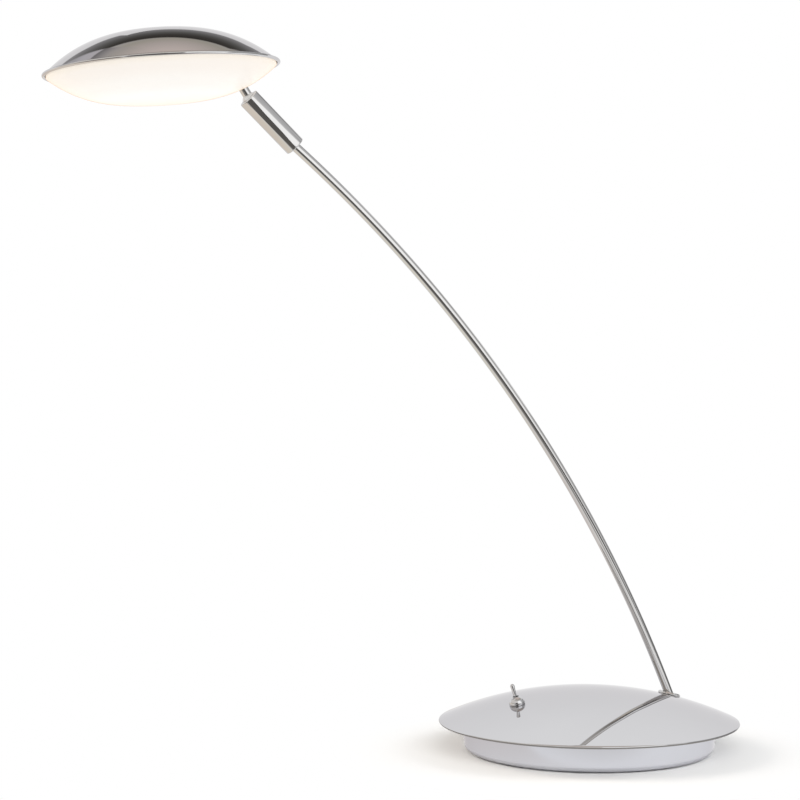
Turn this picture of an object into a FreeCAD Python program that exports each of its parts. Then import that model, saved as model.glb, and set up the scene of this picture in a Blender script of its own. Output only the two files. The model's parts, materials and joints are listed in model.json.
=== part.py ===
import FreeCAD, Part
import math
import os
from types import SimpleNamespace

import Sketcher

# Desk lamp with a domed round base, an arched tube arm and a lens-shaped head on a ball joint.
# Millimetres and degrees. The origin is the middle of the base on the table, +Z is up.
# The arm stands in the XZ plane: its foot is on the +X side and the head reaches out towards -X.

# Driving dimensions
SIZES = {
    # Base plate: a shallow spherical dome whose edge stands upright
    "plate_radius": 100.0,
    "plate_lift": 18.8,
    "skirt_height": 1.5,
    "dome_rise": 21.1,
    "plate_wall": 1.5,
    "plate_edge_round": 0.8,
    # Drum under the plate
    "drum_inset": 21.2,
    "drum_corner": 4.4,
    "drum_flare": 1.0,
    "drum_wall": 1.2,
    "drum_flange": 9.3,
    "drum_plate_gap": 0.3,
    # Ballast and pad
    "ballast_gap": 1.0,
    "ballast_height": 10.0,
    "pad_proud": 0.6,
    "pad_inset": 1.5,
    # Posts and screws that hold the plate down on the ballast
    "post_radius": 4.0,
    "cover_screw_radius": 2.0,
    "cover_screw_bite": 9.0,
    "cover_head_radius": 3.6,
    "cover_head_height": 2.4,
    "cover_head_sink": 0.4,
    # Lamp driver on the ballast
    "driver_height": 16.0,
    "driver_tab_length": 8.0,
    "driver_tab_height": 2.4,
    "driver_round": 2.0,
    "driver_screw_radius": 1.4,
    "driver_screw_length": 7.0,
    "driver_head_radius": 2.6,
    "driver_head_height": 1.8,
    # Terminal block
    "terminal_length": 28.0,
    "terminal_width": 14.0,
    "terminal_height": 12.0,
    "terminal_pitch": 9.0,
    "terminal_bore": 1.9,
    "terminal_screw_radius": 1.6,
    "terminal_screw_length": 3.0,
    # Earth point on the ballast
    "earth_tag_length": 15.0,
    "earth_tag_width": 7.0,
    "earth_tag_thick": 0.8,
    "earth_screw_radius": 1.8,
    "earth_screw_bite": 6.0,
    "earth_head_radius": 3.2,
    "earth_head_height": 2.2,
    # Cable inlet in the drum
    "inlet_height": 15.0,
    "inlet_bore": 3.2,
    "inlet_neck": 4.8,
    "inlet_flange": 6.2,
    "inlet_lip": 1.6,
    "inlet_slack": 0.35,
    # Toggle switch on the plate
    "switch_bush_radius": 3.0,
    "switch_bush_bore": 2.0,
    "switch_bush_above": 3.5,
    "switch_nut_flats": 8.0,
    "switch_nut_height": 2.0,
    "switch_washer_radius": 5.2,
    "switch_washer_height": 0.8,
    "switch_body_length": 12.5,
    "switch_body_width": 8.0,
    "switch_body_height": 8.5,
    "switch_cavity_depth": 5.6,
    "switch_blade_length": 3.6,
    "switch_blade_width": 2.2,
    "switch_blade_thick": 0.7,
    "switch_blade_pitch": 4.2,
    "cap_radius": 5.2,
    "cap_height": 5.3,
    "cap_collar": 0.7,
    "cap_mouth": 2.7,
    "lever_pivot_height": 1.0,
    "lever_ball_radius": 1.95,
    "lever_neck_radius": 0.95,
    "lever_tip_radius": 1.45,
    "lever_length": 12.8,
    "lever_tail_length": 4.6,
    "lever_tail_radius": 0.75,
    # Arm foot
    "rosette_radius": 7.6,
    "rosette_height": 1.6,
    "rosette_round": 0.9,
    "foot_bush_radius": 6.2,
    "foot_bush_depth": 11.0,
    "foot_washer_radius": 5.2,
    "foot_washer_height": 0.8,
    "foot_nut_flats": 9.0,
    "foot_nut_height": 3.0,
    # Arm tube
    "arm_bend_radius": 927.7,
    "arm_radius": 3.0,
    "arm_bore": 2.2,
    "arm_tail": 1.5,
    "arm_insert": 9.0,
    "arm_lead_radius": 1.4,
    "arm_lead_out": 12.0,
    # Knuckle sleeve with its ball joint
    "knuckle_radius": 6.7,
    "knuckle_length": 42.7,
    "knuckle_round": 0.9,
    "knuckle_plug_length": 13.0,
    "knuckle_plug_recess": 0.6,
    "thread_clearance": 0.06,
    "ball_radius": 5.2,
    "ball_recess": 2.6,
    "ball_clearance": 0.05,
    "seat_length": 6.4,
    "seat_below_ball": 2.4,
    "seat_bore": 3.0,
    "seat_side_gap": 0.08,
    "spring_thick": 0.5,
    "spring_cone": 0.45,
    "spring_gap": 0.05,
    "spring_side_gap": 0.3,
    "adjuster_height": 4.0,
    "adjuster_bore": 3.2,
    "adjuster_slot": 1.2,
    # Ball stud
    "stud_radius": 3.0,
    "stud_bore": 1.5,
    "stud_sunk": 2.9,
    "stud_drop": 20.7,
    "stud_hole_gap": 0.4,
    # Head dish
    "head_radius": 72.76,
    "bead_radius": 1.1,
    "dish_rise": 24.0,
    "dish_wall": 0.8,
    "dish_crown_radius": 200.0,
    # Diffuser
    "diffuser_gap": 0.3,
    "diffuser_drop": 1.6,
    "diffuser_depth": 17.9,
    "diffuser_wall": 2.4,
    "diffuser_crown_radius": 600.0,
    "diffuser_edge": 1.1,
    "seal_width": 2.4,
    "seal_gap": 0.12,
    # Heat sink plate with the lamps
    "sink_inset": 13.76,
    "sink_thick": 2.0,
    "sink_height": 1.2,
    "sink_slot_gap": 1.0,
    "dish_post_inset": 21.76,
    "dish_post_radius": 3.0,
    "sink_screw_radius": 1.5,
    "sink_screw_bite": 5.0,
    "sink_head_radius": 2.7,
    "sink_head_height": 1.6,
    "board_thick": 1.6,
    "board_screw_inset": 4.3,
    "board_screw_radius": 1.2,
    "board_head_radius": 2.2,
    "board_head_height": 1.3,
    "lamp_side": 3.5,
    "lamp_height": 0.9,
    # Stud block and its screws
    "block_length": 18.0,
    "block_width": 14.0,
    "block_height": 9.0,
    "block_round": 1.2,
    "block_screw_inset": 3.0,
    "block_screw_spread": 4.6,
    "block_screw_radius": 1.25,
    "block_screw_bite": 4.5,
    "block_head_radius": 2.1,
    "block_head_height": 1.3,
    "grub_radius": 1.6,
    "grub_length": 3.4,
    # Spring clips of the diffuser
    "clip_width": 7.0,
    "clip_thick": 0.6,
    "clip_tab": 7.0,
    "clip_reach": 4.5,
    "clip_inset": 2.0,
    # Leads
    "wire_radius": 0.9,
    "wire_bend": 4.0,
    "wire_gap": 0.3,
    "head_lead_radius": 1.0,
    "head_lead_bend": 5.0,
    "head_terminal_reach": 14.0,
    "head_terminal_side": 7.0,
    "head_terminal_height": 5.0,
    # Clearances that several fits share
    "running_clearance": 0.05,
    "seat_gap": 0.1,
    "open_clearance": 0.3,
    "screw_fit": 0.05,
    "overrun": 5.0,
}

# Angles in degrees
ANGLES = {
    "arm_lean_angle": 22.65,
    "arm_bend_angle": 28.01,
    "knuckle_lean_angle": 46.72,
    "stud_tilt_angle": 29.76,
    "head_tilt_angle": 4.64,
    "lever_throw_angle": 11.0,
    "inlet_angle": 68.0,
    "switch_angle": 187.0,
    "post_start_angle": 30.0,
    "dish_post_start_angle": 60.0,
    "board_screw_start_angle": 15.0,
    "clip_start_angle": 90.0,
    "earth_angle": 122.0,
    "dish_crown_angle": 7.2,
    "diffuser_crown_angle": 2.5,
}

# Counts
COUNTS = {
    "spring_count": 4,
    "lamp_outer_count": 12,
    "lamp_inner_count": 6,
    "post_count": 3,
}

# Shares of the sizes that they follow
edge_bend_share = 1.5
foot_share = 0.615
switch_share = 0.561
post_share = 0.5
terminal_share = 0.33
earth_share = 0.52
driver_length_share = 0.6
driver_width_share = 0.28
stud_share = 0.7655
outer_lamp_share = 0.64
inner_lamp_share = 0.3
screw_socket_share = 0.5
lever_waist_share = 0.35
upright_share = 0.99

doc = FreeCAD.newDocument("DeskLamp")
sheet = doc.addObject("Spreadsheet::Sheet", "Sizes")
for row, (name, value) in enumerate({**SIZES, **ANGLES, **COUNTS}.items(), start=1):
    sheet.set(f"A{row}", name)
    sheet.set(f"B{row}", str(value))
    sheet.setAlias(f"B{row}", name)
doc.recompute()


# Sizes that carry their expression
class Measure:
    """A size: its number now, and the expression over the sheet that gives it."""

    def __init__(self, value, text):
        self.value = float(value)
        self.text = text

    def __add__(self, other):
        return Measure(self.value + number(other), f"({self.text} + {wording(other)})")

    def __radd__(self, other):
        return Measure(number(other) + self.value, f"({wording(other)} + {self.text})")

    def __sub__(self, other):
        return Measure(self.value - number(other), f"({self.text} - {wording(other)})")

    def __rsub__(self, other):
        return Measure(number(other) - self.value, f"({wording(other)} - {self.text})")

    def __mul__(self, other):
        return Measure(self.value * number(other), f"({self.text} * {wording(other)})")

    def __rmul__(self, other):
        return self * other

    def __truediv__(self, other):
        return Measure(self.value / number(other), f"({self.text} / {wording(other)})")

    def __neg__(self):
        return Measure(-self.value, f"(0 - {self.text})")


def number(size):
    """The plain number of a size."""
    return size.value if isinstance(size, Measure) else float(size)


def wording(size):
    """The expression of a size."""
    return size.text if isinstance(size, Measure) else repr(float(size))


def root(size):
    """Square root."""
    return Measure(math.sqrt(size.value), f"sqrt({size.text})")


def sine(angle):
    """Sine of an angle in degrees."""
    return Measure(math.sin(math.radians(angle.value)), f"sin({angle.text})")


def cosine(angle):
    """Cosine of an angle in degrees."""
    return Measure(math.cos(math.radians(angle.value)), f"cos({angle.text})")


s = SimpleNamespace(**{
    name: Measure(value, f"Sizes.{name}") for name, value in {**SIZES, **ANGLES}.items()})
post_count = COUNTS["post_count"]


# Places
def vector(x, y, z):
    """A point or direction of sizes."""
    return FreeCAD.Vector(number(x), number(y), number(z))


def turn(axis, degrees):
    """A rotation about an axis through the origin."""
    return FreeCAD.Rotation(vector(*axis), number(degrees))


def place(x=0, y=0, z=0, rotation=None):
    """A placement at a point, with a rotation if one is given."""
    return FreeCAD.Placement(vector(x, y, z), rotation or FreeCAD.Rotation())


def spin(degrees):
    """A placement turned about +Z."""
    return place(rotation=turn((0, 0, 1), degrees))


def ring(count, radius, height=0, start=0):
    """Placements spaced evenly on a circle, each turned to face outwards."""
    step = 360 / count
    return [spin(number(start) + step * i).multiply(place(radius, 0, height)) for i in range(count)]


# Building blocks
def origin_plane(body, role):
    """The origin plane of a body, found by its role."""
    return next(item for item in body.Origin.OriginFeatures if item.Role == role)


def new_sketch(body, name, role):
    """An empty sketch on one of the body's origin planes."""
    sketch = body.newObject("Sketcher::SketchObject", name)
    sketch.AttachmentSupport = (origin_plane(body, role), [""])
    sketch.MapMode = "FlatFace"
    return sketch


def bind(sketch, kind, arguments, size, name):
    """Add a dimension to a sketch and tie it to its expression."""
    index = sketch.addConstraint(Sketcher.Constraint(kind, *arguments, number(size)))
    if isinstance(size, Measure):
        sketch.renameConstraint(index, name)
        sketch.setExpression(f"Constraints.{name}", size.text)


def pin_point(sketch, edge, end, point, name):
    """Fix one sketch point at its two coordinates."""
    across, up = point[0], point[1]
    if number(across) == 0:
        sketch.addConstraint(Sketcher.Constraint("PointOnObject", edge, end, -2))
    else:
        bind(sketch, "DistanceX", (-1, 1, edge, end), across, f"{name}_across")
    if number(up) == 0:
        sketch.addConstraint(Sketcher.Constraint("PointOnObject", edge, end, -1))
    else:
        bind(sketch, "DistanceY", (-1, 1, edge, end), up, f"{name}_up")


def arc_between(start, end, radius):
    """The minor arc from start to end; a positive radius runs anticlockwise, a negative one clockwise."""
    chord = end - start
    half = chord.Length / 2
    reach = math.sqrt(max(radius * radius - half * half, 0))
    left = FreeCAD.Vector(-chord.y, chord.x, 0).normalize()
    centre = (start + end) / 2 + left * math.copysign(reach, radius)
    first, last = (start, end) if radius > 0 else (end, start)
    angles = [math.atan2(point.y - centre.y, point.x - centre.x) for point in (first, last)]
    circle = Part.Circle(centre, FreeCAD.Vector(0, 0, 1), abs(radius))
    return Part.ArcOfCircle(circle, angles[0], angles[1])


def draw_outline(sketch, outline):
    """A closed outline of (across, up) points; a third entry makes the edge that ends there an arc."""
    points = [vector(item[0], item[1], 0) for item in outline]
    count = len(outline)
    edges = []
    for i in range(count):
        following = (i + 1) % count
        bend = outline[following][2] if len(outline[following]) == 3 else None
        if bend is None:
            edge = sketch.addGeometry(Part.LineSegment(points[i], points[following]))
            edges.append((edge, 1, 2))
        else:
            edge = sketch.addGeometry(arc_between(points[i], points[following], number(bend)))
            edges.append((edge, 1, 2) if number(bend) > 0 else (edge, 2, 1))
            sign = 1 if number(bend) > 0 else -1
            bind(sketch, "Radius", (edge,), bend * sign, f"bend_{i}")
    for i in range(count):
        before = edges[i - 1]
        after = edges[i]
        sketch.addConstraint(Sketcher.Constraint("Coincident", before[0], before[2], after[0], after[1]))
        pin_point(sketch, after[0], after[1], outline[i], f"point_{i}")


def turned(label, outline, placement=None):
    """A body turned about its own Z axis from an outline of (radius, height) points."""
    body = doc.addObject("PartDesign::Body", label)
    sketch = new_sketch(body, f"{label}_outline", "XZ_Plane")
    draw_outline(sketch, outline)
    solid = body.newObject("PartDesign::Revolution", f"{label}_turned")
    solid.Profile = sketch
    solid.ReferenceAxis = (sketch, ["V_Axis"])
    solid.Angle = 360
    sketch.Visibility = False
    body.Placement = placement or place()
    return body


def padded(label, outline, height, placement=None):
    """A body raised by a height from an outline of (across, up) points in its own XY plane."""
    body = doc.addObject("PartDesign::Body", label)
    sketch = new_sketch(body, f"{label}_outline", "XY_Plane")
    draw_outline(sketch, outline)
    pad = body.newObject("PartDesign::Pad", f"{label}_pad")
    pad.Profile = sketch
    pad.setExpression("Length", wording(height))
    body.Placement = placement or place()
    return body


def drilled_disc(label, radius, thickness, holes, placement=None):
    """A round plate with rings of holes, each given as (hole radius, circle radius, count, start angle)."""
    body = doc.addObject("PartDesign::Body", label)
    sketch = new_sketch(body, f"{label}_outline", "XY_Plane")
    rim = sketch.addGeometry(Part.Circle(vector(0, 0, 0), vector(0, 0, 1), number(radius)))
    sketch.addConstraint(Sketcher.Constraint("Coincident", rim, 3, -1, 1))
    bind(sketch, "Radius", (rim,), radius, "rim")
    pad = body.newObject("PartDesign::Pad", f"{label}_pad")
    pad.Profile = sketch
    pad.setExpression("Length", wording(thickness))
    doc.recompute()
    for i, (hole, circle, count, start) in enumerate(holes):
        whole = body.Shape.Volume
        drill = new_sketch(body, f"{label}_drill_{i}", "XY_Plane")
        across = circle * cosine(start)
        up = circle * sine(start)
        rim = drill.addGeometry(Part.Circle(vector(across, up, 0), vector(0, 0, 1), number(hole)))
        bind(drill, "DistanceX", (-1, 1, rim, 3), across, "across")
        bind(drill, "DistanceY", (-1, 1, rim, 3), up, "up")
        bind(drill, "Radius", (rim,), hole, "hole")
        pocket = body.newObject("PartDesign::Pocket", f"{label}_pocket_{i}")
        pocket.Profile = drill
        pocket.Type = "ThroughAll"
        pocket.Reversed = True
        doc.recompute()
        pattern = body.newObject("PartDesign::PolarPattern", f"{label}_pattern_{i}")
        pattern.Originals = [pocket]
        pattern.Axis = (sketch, ["N_Axis"])
        pattern.Angle = 360
        pattern.Occurrences = count
        body.Tip = pattern
        doc.recompute()
        if not body.Shape.Volume < whole:
            raise RuntimeError(f"{label}: hole ring {i} cuts nothing")
    body.Placement = placement or place()
    return body


def rod(label, radius, height, placement=None):
    """A plain cylinder along its own +Z."""
    solid = doc.addObject("Part::Cylinder", label)
    solid.setExpression("Radius", wording(radius))
    solid.setExpression("Height", wording(height))
    solid.Placement = placement or place()
    return solid


def block(label, length, width, height, placement=None):
    """A box whose base is centred on its own origin."""
    solid = doc.addObject("Part::Box", label)
    solid.setExpression("Length", wording(length))
    solid.setExpression("Width", wording(width))
    solid.setExpression("Height", wording(height))
    centred = place(-length / 2, -width / 2, 0)
    solid.Placement = (placement or place()).multiply(centred)
    return solid


def cut(label, base, tools):
    """The base without the tools."""
    result = doc.addObject("Part::Cut", label)
    result.Base = base
    result.Tool = tools[0] if len(tools) == 1 else fuse(f"{label}_tools", tools)
    return result


def fuse(label, shapes):
    """Several shapes made one."""
    result = doc.addObject("Part::MultiFuse", label)
    result.Shapes = shapes
    return result


def common(label, first, second):
    """What two shapes share."""
    result = doc.addObject("Part::MultiCommon", label)
    result.Shapes = [first, second]
    return result


def rounded(label, base, radius, chosen):
    """Round the chosen edges of a shape."""
    doc.recompute()
    result = doc.addObject("Part::Fillet", label)
    result.Base = base
    size = number(radius)
    numbers = [i for i, edge in enumerate(base.Shape.Edges, start=1) if chosen(edge)]
    result.Edges = [(i, size, size) for i in numbers]
    return result


def upright(edge):
    """True for a straight edge along the shape's height."""
    start, end = edge.Vertexes[0].Point, edge.Vertexes[-1].Point
    return abs(start.z - end.z) > edge.Length * upright_share


def copies(label, template, placements):
    """One node of separate solids: the template's own shape, repeated at each placement."""
    doc.recompute()
    shapes = []
    for placement in placements:
        shape = template.Shape.copy()
        shape.Placement = placement.multiply(shape.Placement)
        shapes.append(shape)
    group = doc.addObject("Part::Feature", label)
    group.Shape = Part.makeCompound(shapes)
    return group


def rounded_path(points, bend):
    """Straight runs through the points, joined by arcs of one radius, as one wire."""
    edges = []
    start = points[0]
    for before, corner, after in zip(points, points[1:], points[2:]):
        back = (before - corner).normalize()
        ahead = (after - corner).normalize()
        half = back.getAngle(ahead) / 2
        trim = bend / math.tan(half)
        first = corner + back * trim
        last = corner + ahead * trim
        middle = corner + (back + ahead).normalize() * (bend / math.sin(half) - bend)
        edges.append(Part.LineSegment(start, first).toShape())
        edges.append(Part.Arc(first, middle, last).toShape())
        start = last
    edges.append(Part.LineSegment(start, points[-1]).toShape())
    return Part.Wire(edges)


def lead(points, radius, bend):
    """The solid of a round lead along straight runs and arcs."""
    path = rounded_path(points, number(bend))
    along = points[1] - points[0]
    section = Part.Wire([Part.Circle(points[0], along, number(radius)).toShape()])
    return path.makePipeShell([section], True, False)


def lead_node(label, runs, radius, bend):
    """One node of one or more leads, each given by its points."""
    node = doc.addObject("Part::Feature", label)
    solids = [lead(points, radius, bend) for points in runs]
    node.Shape = solids[0] if len(solids) == 1 else Part.makeCompound(solids)
    return node


def socket_screw(label, shank_radius, shank_length, head_radius, head_height, placement=None):
    """A screw with a round head below its own origin and a shank that rises from it."""
    socket_radius = head_radius * screw_socket_share
    socket_depth = head_height * screw_socket_share
    outline = [
        (0, socket_depth - head_height),
        (socket_radius, socket_depth - head_height),
        (socket_radius, -head_height),
        (head_radius, -head_height),
        (head_radius, 0),
        (shank_radius, 0),
        (shank_radius, shank_length),
        (0, shank_length),
    ]
    return turned(label, outline, placement)


def hexagon(flats):
    """The corners of a hexagon across its flats."""
    half = flats / 2
    corner = flats / root(Measure(3, "3"))
    return [
        (corner, 0), (corner / 2, half), (-corner / 2, half),
        (-corner, 0), (-corner / 2, -half), (corner / 2, -half),
    ]


def hex_nut(label, flats, height, bore, placement):
    """A hexagon nut with a plain bore."""
    body = padded(f"{label}_blank", hexagon(flats), height, placement)
    hole = rod(f"{label}_bore", bore, height + s.overrun * 2, placement.multiply(place(0, 0, -s.overrun)))
    return cut(label, body, [hole])


def crowned(rim_radius, depth, crown_radius, crown_angle):
    """A dome's section: a crown arc on the axis, then a tangent shoulder arc down to the rim."""
    crown_up = depth - crown_radius
    across = sine(crown_angle)
    up = cosine(crown_angle)
    rim_up = -crown_up
    square = rim_radius * rim_radius + rim_up * rim_up
    along = rim_radius * across + rim_up * up
    rest = square - along * crown_radius * 2 + crown_radius * crown_radius
    shoulder = rest / ((crown_radius - along) * 2)
    offset = crown_radius - shoulder
    return SimpleNamespace(
        crown=crown_radius, shoulder=shoulder, crown_up=crown_up, across=across, up=up,
        centre_across=offset * across, centre_up=crown_up + offset * up)


def crown_point(section, wall=0):
    """Where the crown meets the shoulder, on the face that lies a wall inside."""
    reach = section.crown - wall
    return reach * section.across, section.crown_up + reach * section.up


def shoulder_reach(section, wall, height):
    """The radius of the shoulder's face that lies a wall inside, at a height."""
    radius = section.shoulder - wall
    rise = height - section.centre_up
    return section.centre_across + root(radius * radius - rise * rise)


def shoulder_height(section, wall, reach):
    """The height of the shoulder's face that lies a wall inside, at a radius."""
    radius = section.shoulder - wall
    across = reach - section.centre_across
    return section.centre_up + root(radius * radius - across * across)


# Base plate
drum_foot_radius = s.plate_radius - s.drum_inset
foot_reach = s.plate_radius * foot_share
switch_reach = s.plate_radius * switch_share
post_circle = s.plate_radius * post_share
plate_top = s.plate_lift + s.skirt_height + s.dome_rise
dome_radius = (s.plate_radius * s.plate_radius + s.dome_rise * s.dome_rise) / (s.dome_rise * 2)
dome_centre = plate_top - dome_radius
under_radius = dome_radius - s.plate_wall


def dome_height(reach, sphere=dome_radius):
    """Height of the dome at a distance from its axis."""
    return dome_centre + root(sphere * sphere - reach * reach)


def dome_slope(reach):
    """Slope of the dome in degrees at a distance from its axis."""
    return math.degrees(math.asin(number(reach) / dome_radius.value))


edge_reach = s.plate_radius - s.plate_edge_round
edge_height = s.plate_lift + s.skirt_height - s.plate_edge_round
plate_blank = turned("plate_blank", [
    (0, plate_top),
    (edge_reach, dome_height(edge_reach), -dome_radius),
    (s.plate_radius, edge_height, -s.plate_edge_round * edge_bend_share),
    (s.plate_radius, s.plate_lift),
    (s.plate_radius - s.plate_wall, s.plate_lift),
    (s.plate_radius - s.plate_wall, dome_height(s.plate_radius - s.plate_wall, under_radius)),
    (0, plate_top - s.plate_wall, under_radius),
])

# Places on the plate: the arm's foot and the switch
foot_height = dome_height(foot_reach)
foot_slope = dome_slope(foot_reach)
arm_axis = place(foot_reach, 0, foot_height, turn((0, 1, 0), -s.arm_lean_angle))
spigot_length = s.foot_bush_depth + s.foot_washer_height + s.foot_nut_height + s.arm_tail
plate_foot_hole = rod(
    "plate_foot_hole", s.arm_radius + s.open_clearance, s.overrun * 3,
    arm_axis.multiply(place(0, 0, -s.overrun * 1.5)))

switch_slope = dome_slope(switch_reach)
switch_outward = spin(s.switch_angle)
switch_normal = switch_outward.multiply(
    place(switch_reach, 0, dome_height(switch_reach), turn((0, 1, 0), switch_slope)))
normal = switch_normal.Rotation.multVec(vector(0, 0, 1))
hinge = (vector(1, 0, 0) - normal * normal.x).normalize()
switch_axis = FreeCAD.Placement(
    switch_normal.Base, FreeCAD.Rotation(hinge, normal.cross(hinge), normal, "ZXY"))
plate_switch_hole = rod(
    "plate_switch_hole", s.switch_bush_radius + s.seat_gap, s.overrun * 2,
    switch_axis.multiply(place(0, 0, -s.overrun)))
base_plate = cut("base_plate", plate_blank, [plate_foot_hole, plate_switch_hole])

# Drum
drum_side = drum_foot_radius + s.drum_corner
drum_mouth = drum_side + s.drum_flare
drum_top = dome_height(drum_mouth, under_radius) - s.drum_plate_gap
drum_floor = s.pad_proud + s.drum_wall
flange_reach = drum_foot_radius - s.drum_flange
drum_blank = turned("drum_blank", [
    (flange_reach, s.pad_proud),
    (drum_foot_radius, s.pad_proud),
    (drum_side, s.pad_proud + s.drum_corner, s.drum_corner),
    (drum_mouth, drum_top),
    (drum_mouth - s.drum_wall, drum_top),
    (drum_side - s.drum_wall, s.pad_proud + s.drum_corner),
    (drum_foot_radius, drum_floor, -(s.drum_corner - s.drum_wall)),
    (flange_reach, drum_floor),
])
inlet_wall = drum_side + s.drum_flare * (s.inlet_height - s.pad_proud - s.drum_corner) / (
    drum_top - s.pad_proud - s.drum_corner)
inlet_axis = spin(s.inlet_angle).multiply(place(inlet_wall, 0, s.inlet_height, turn((0, 1, 0), 90)))
inlet_hole = rod(
    "drum_inlet_hole", s.inlet_neck + s.seat_gap, s.overrun * 2,
    inlet_axis.multiply(place(0, 0, -s.overrun)))
base_drum = cut("base_drum", drum_blank, [inlet_hole])

# Cable inlet bush
inlet_inside = -(s.drum_wall + s.inlet_slack)
cable_inlet_bush = turned("cable_inlet_bush", [
    (s.inlet_bore, inlet_inside - s.inlet_lip),
    (s.inlet_flange, inlet_inside - s.inlet_lip),
    (s.inlet_flange, inlet_inside),
    (s.inlet_neck, inlet_inside),
    (s.inlet_neck, s.inlet_slack),
    (s.inlet_flange, s.inlet_slack),
    (s.inlet_flange, s.inlet_slack + s.inlet_lip),
    (s.inlet_bore, s.inlet_slack + s.inlet_lip),
], inlet_axis)

# Ballast with its screw holes, and the pad below it
ballast_radius = drum_foot_radius - s.ballast_gap
ballast_floor = drum_floor
ballast_top = ballast_floor + s.ballast_height
ballast_blank = drilled_disc("ballast_blank", ballast_radius, s.ballast_height, [
    (s.cover_screw_radius + s.open_clearance, post_circle, post_count, s.post_start_angle),
], place(0, 0, ballast_floor))
head_pockets = [
    rod(f"head_pocket_{i}", s.cover_head_radius + s.open_clearance,
        s.overrun + s.cover_head_height + s.cover_head_sink,
        spot.multiply(place(0, 0, ballast_floor - s.overrun)))
    for i, spot in enumerate(ring(post_count, post_circle, 0, s.post_start_angle))]
driver_length = s.plate_radius * driver_length_share
driver_width = s.plate_radius * driver_width_share
driver_reach = driver_length / 2 + s.driver_tab_length / 2
driver_hole_low = ballast_top + s.driver_tab_height - s.driver_screw_length - s.seat_gap
driver_holes = [
    rod(f"driver_hole_{i}", s.driver_screw_radius + s.screw_fit, s.driver_screw_length + s.seat_gap,
        place(driver_reach * side, 0, driver_hole_low))
    for i, side in enumerate((-1, 1))]
earth_spot = spin(s.earth_angle).multiply(place(s.plate_radius * earth_share, 0, ballast_top))
earth_hole = rod("earth_hole", s.earth_screw_radius + s.screw_fit, s.earth_screw_bite + s.seat_gap,
                 earth_spot.multiply(place(0, 0, -s.earth_screw_bite - s.seat_gap)))
ballast_disc = cut("ballast_disc", ballast_blank, head_pockets + [earth_hole] + driver_holes)

base_pad = drilled_disc("base_pad", flange_reach - s.pad_inset, drum_floor, [
    (s.cover_head_radius + s.open_clearance, post_circle, post_count, s.post_start_angle),
])

# Posts under the plate and the screws from below
post_blank = rod("post_blank", s.post_radius, plate_top - ballast_top, place(0, 0, ballast_top))
post_bore = rod("post_bore", s.cover_screw_radius + s.screw_fit,
                s.cover_screw_bite + s.seat_gap + s.overrun, place(0, 0, ballast_top - s.overrun))
post_stock = cut("post_stock", post_blank, [post_bore])
post_group = copies("post_group", post_stock, ring(post_count, post_circle, 0, s.post_start_angle))
under_dome = doc.addObject("Part::Sphere", "under_dome")
under_dome.setExpression("Radius", wording(under_radius - s.seat_gap))
under_dome.Placement = place(0, 0, dome_centre)
cover_posts = common("cover_posts", post_group, under_dome)

cover_screw = socket_screw(
    "cover_screw", s.cover_screw_radius,
    s.ballast_height - s.cover_head_height - s.cover_head_sink + s.cover_screw_bite,
    s.cover_head_radius, s.cover_head_height,
    place(0, 0, ballast_floor + s.cover_head_height + s.cover_head_sink))
cover_screws = copies("cover_screws", cover_screw, ring(post_count, post_circle, 0, s.post_start_angle))

# Driver on the ballast
driver_box = rounded(
    "driver_box",
    block("driver_core", driver_length, driver_width, s.driver_height, place(0, 0, ballast_top)),
    s.driver_round, upright)
driver_tabs = block("driver_tabs", driver_length + s.driver_tab_length * 2, driver_width / 2,
                    s.driver_tab_height, place(0, 0, ballast_top))
tab_holes = [
    rod(f"tab_hole_{i}", s.driver_screw_radius + s.open_clearance, s.driver_tab_height + s.overrun * 2,
        place(driver_reach * side, 0, ballast_top - s.overrun))
    for i, side in enumerate((-1, 1))]
driver_case = cut("driver_case", fuse("driver_shell", [driver_box, driver_tabs]), tab_holes)
driver_screw = socket_screw(
    "driver_screw", s.driver_screw_radius, s.driver_screw_length,
    s.driver_head_radius, s.driver_head_height,
    place(0, 0, ballast_top + s.driver_tab_height, turn((1, 0, 0), 180)))
driver_screws = copies("driver_screws", driver_screw, [
    place(driver_reach * side, 0, 0) for side in (-1, 1)])

# Terminal block on the line of the cable inlet
terminal_spot = spin(s.inlet_angle).multiply(place(s.plate_radius * terminal_share, 0, ballast_top))
terminal_places = [place(0, s.terminal_pitch * i, 0) for i in (-1, 0, 1)]
terminal_blank = block("terminal_blank", s.terminal_width, s.terminal_length,
                       s.terminal_height, terminal_spot)
terminal_bores = [
    rod(f"terminal_bore_{i}", s.terminal_bore, s.terminal_width + s.overrun * 2,
        terminal_spot.multiply(spot).multiply(
            place(-s.terminal_width / 2 - s.overrun, 0, s.terminal_height / 2, turn((0, 1, 0), 90))))
    for i, spot in enumerate(terminal_places)]
terminal_wells = [
    rod(f"terminal_well_{i}", s.terminal_screw_radius + s.screw_fit, s.terminal_height,
        terminal_spot.multiply(spot).multiply(place(0, 0, s.terminal_height / 2)))
    for i, spot in enumerate(terminal_places)]
terminal_block = cut("terminal_block", terminal_blank, terminal_bores + terminal_wells)
terminal_screw = rod("terminal_screw", s.terminal_screw_radius, s.terminal_screw_length,
                     place(0, 0, s.terminal_height / 2 + s.terminal_bore - s.seat_gap))
terminal_screws = copies("terminal_screws", terminal_screw,
                         [terminal_spot.multiply(spot) for spot in terminal_places])

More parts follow.
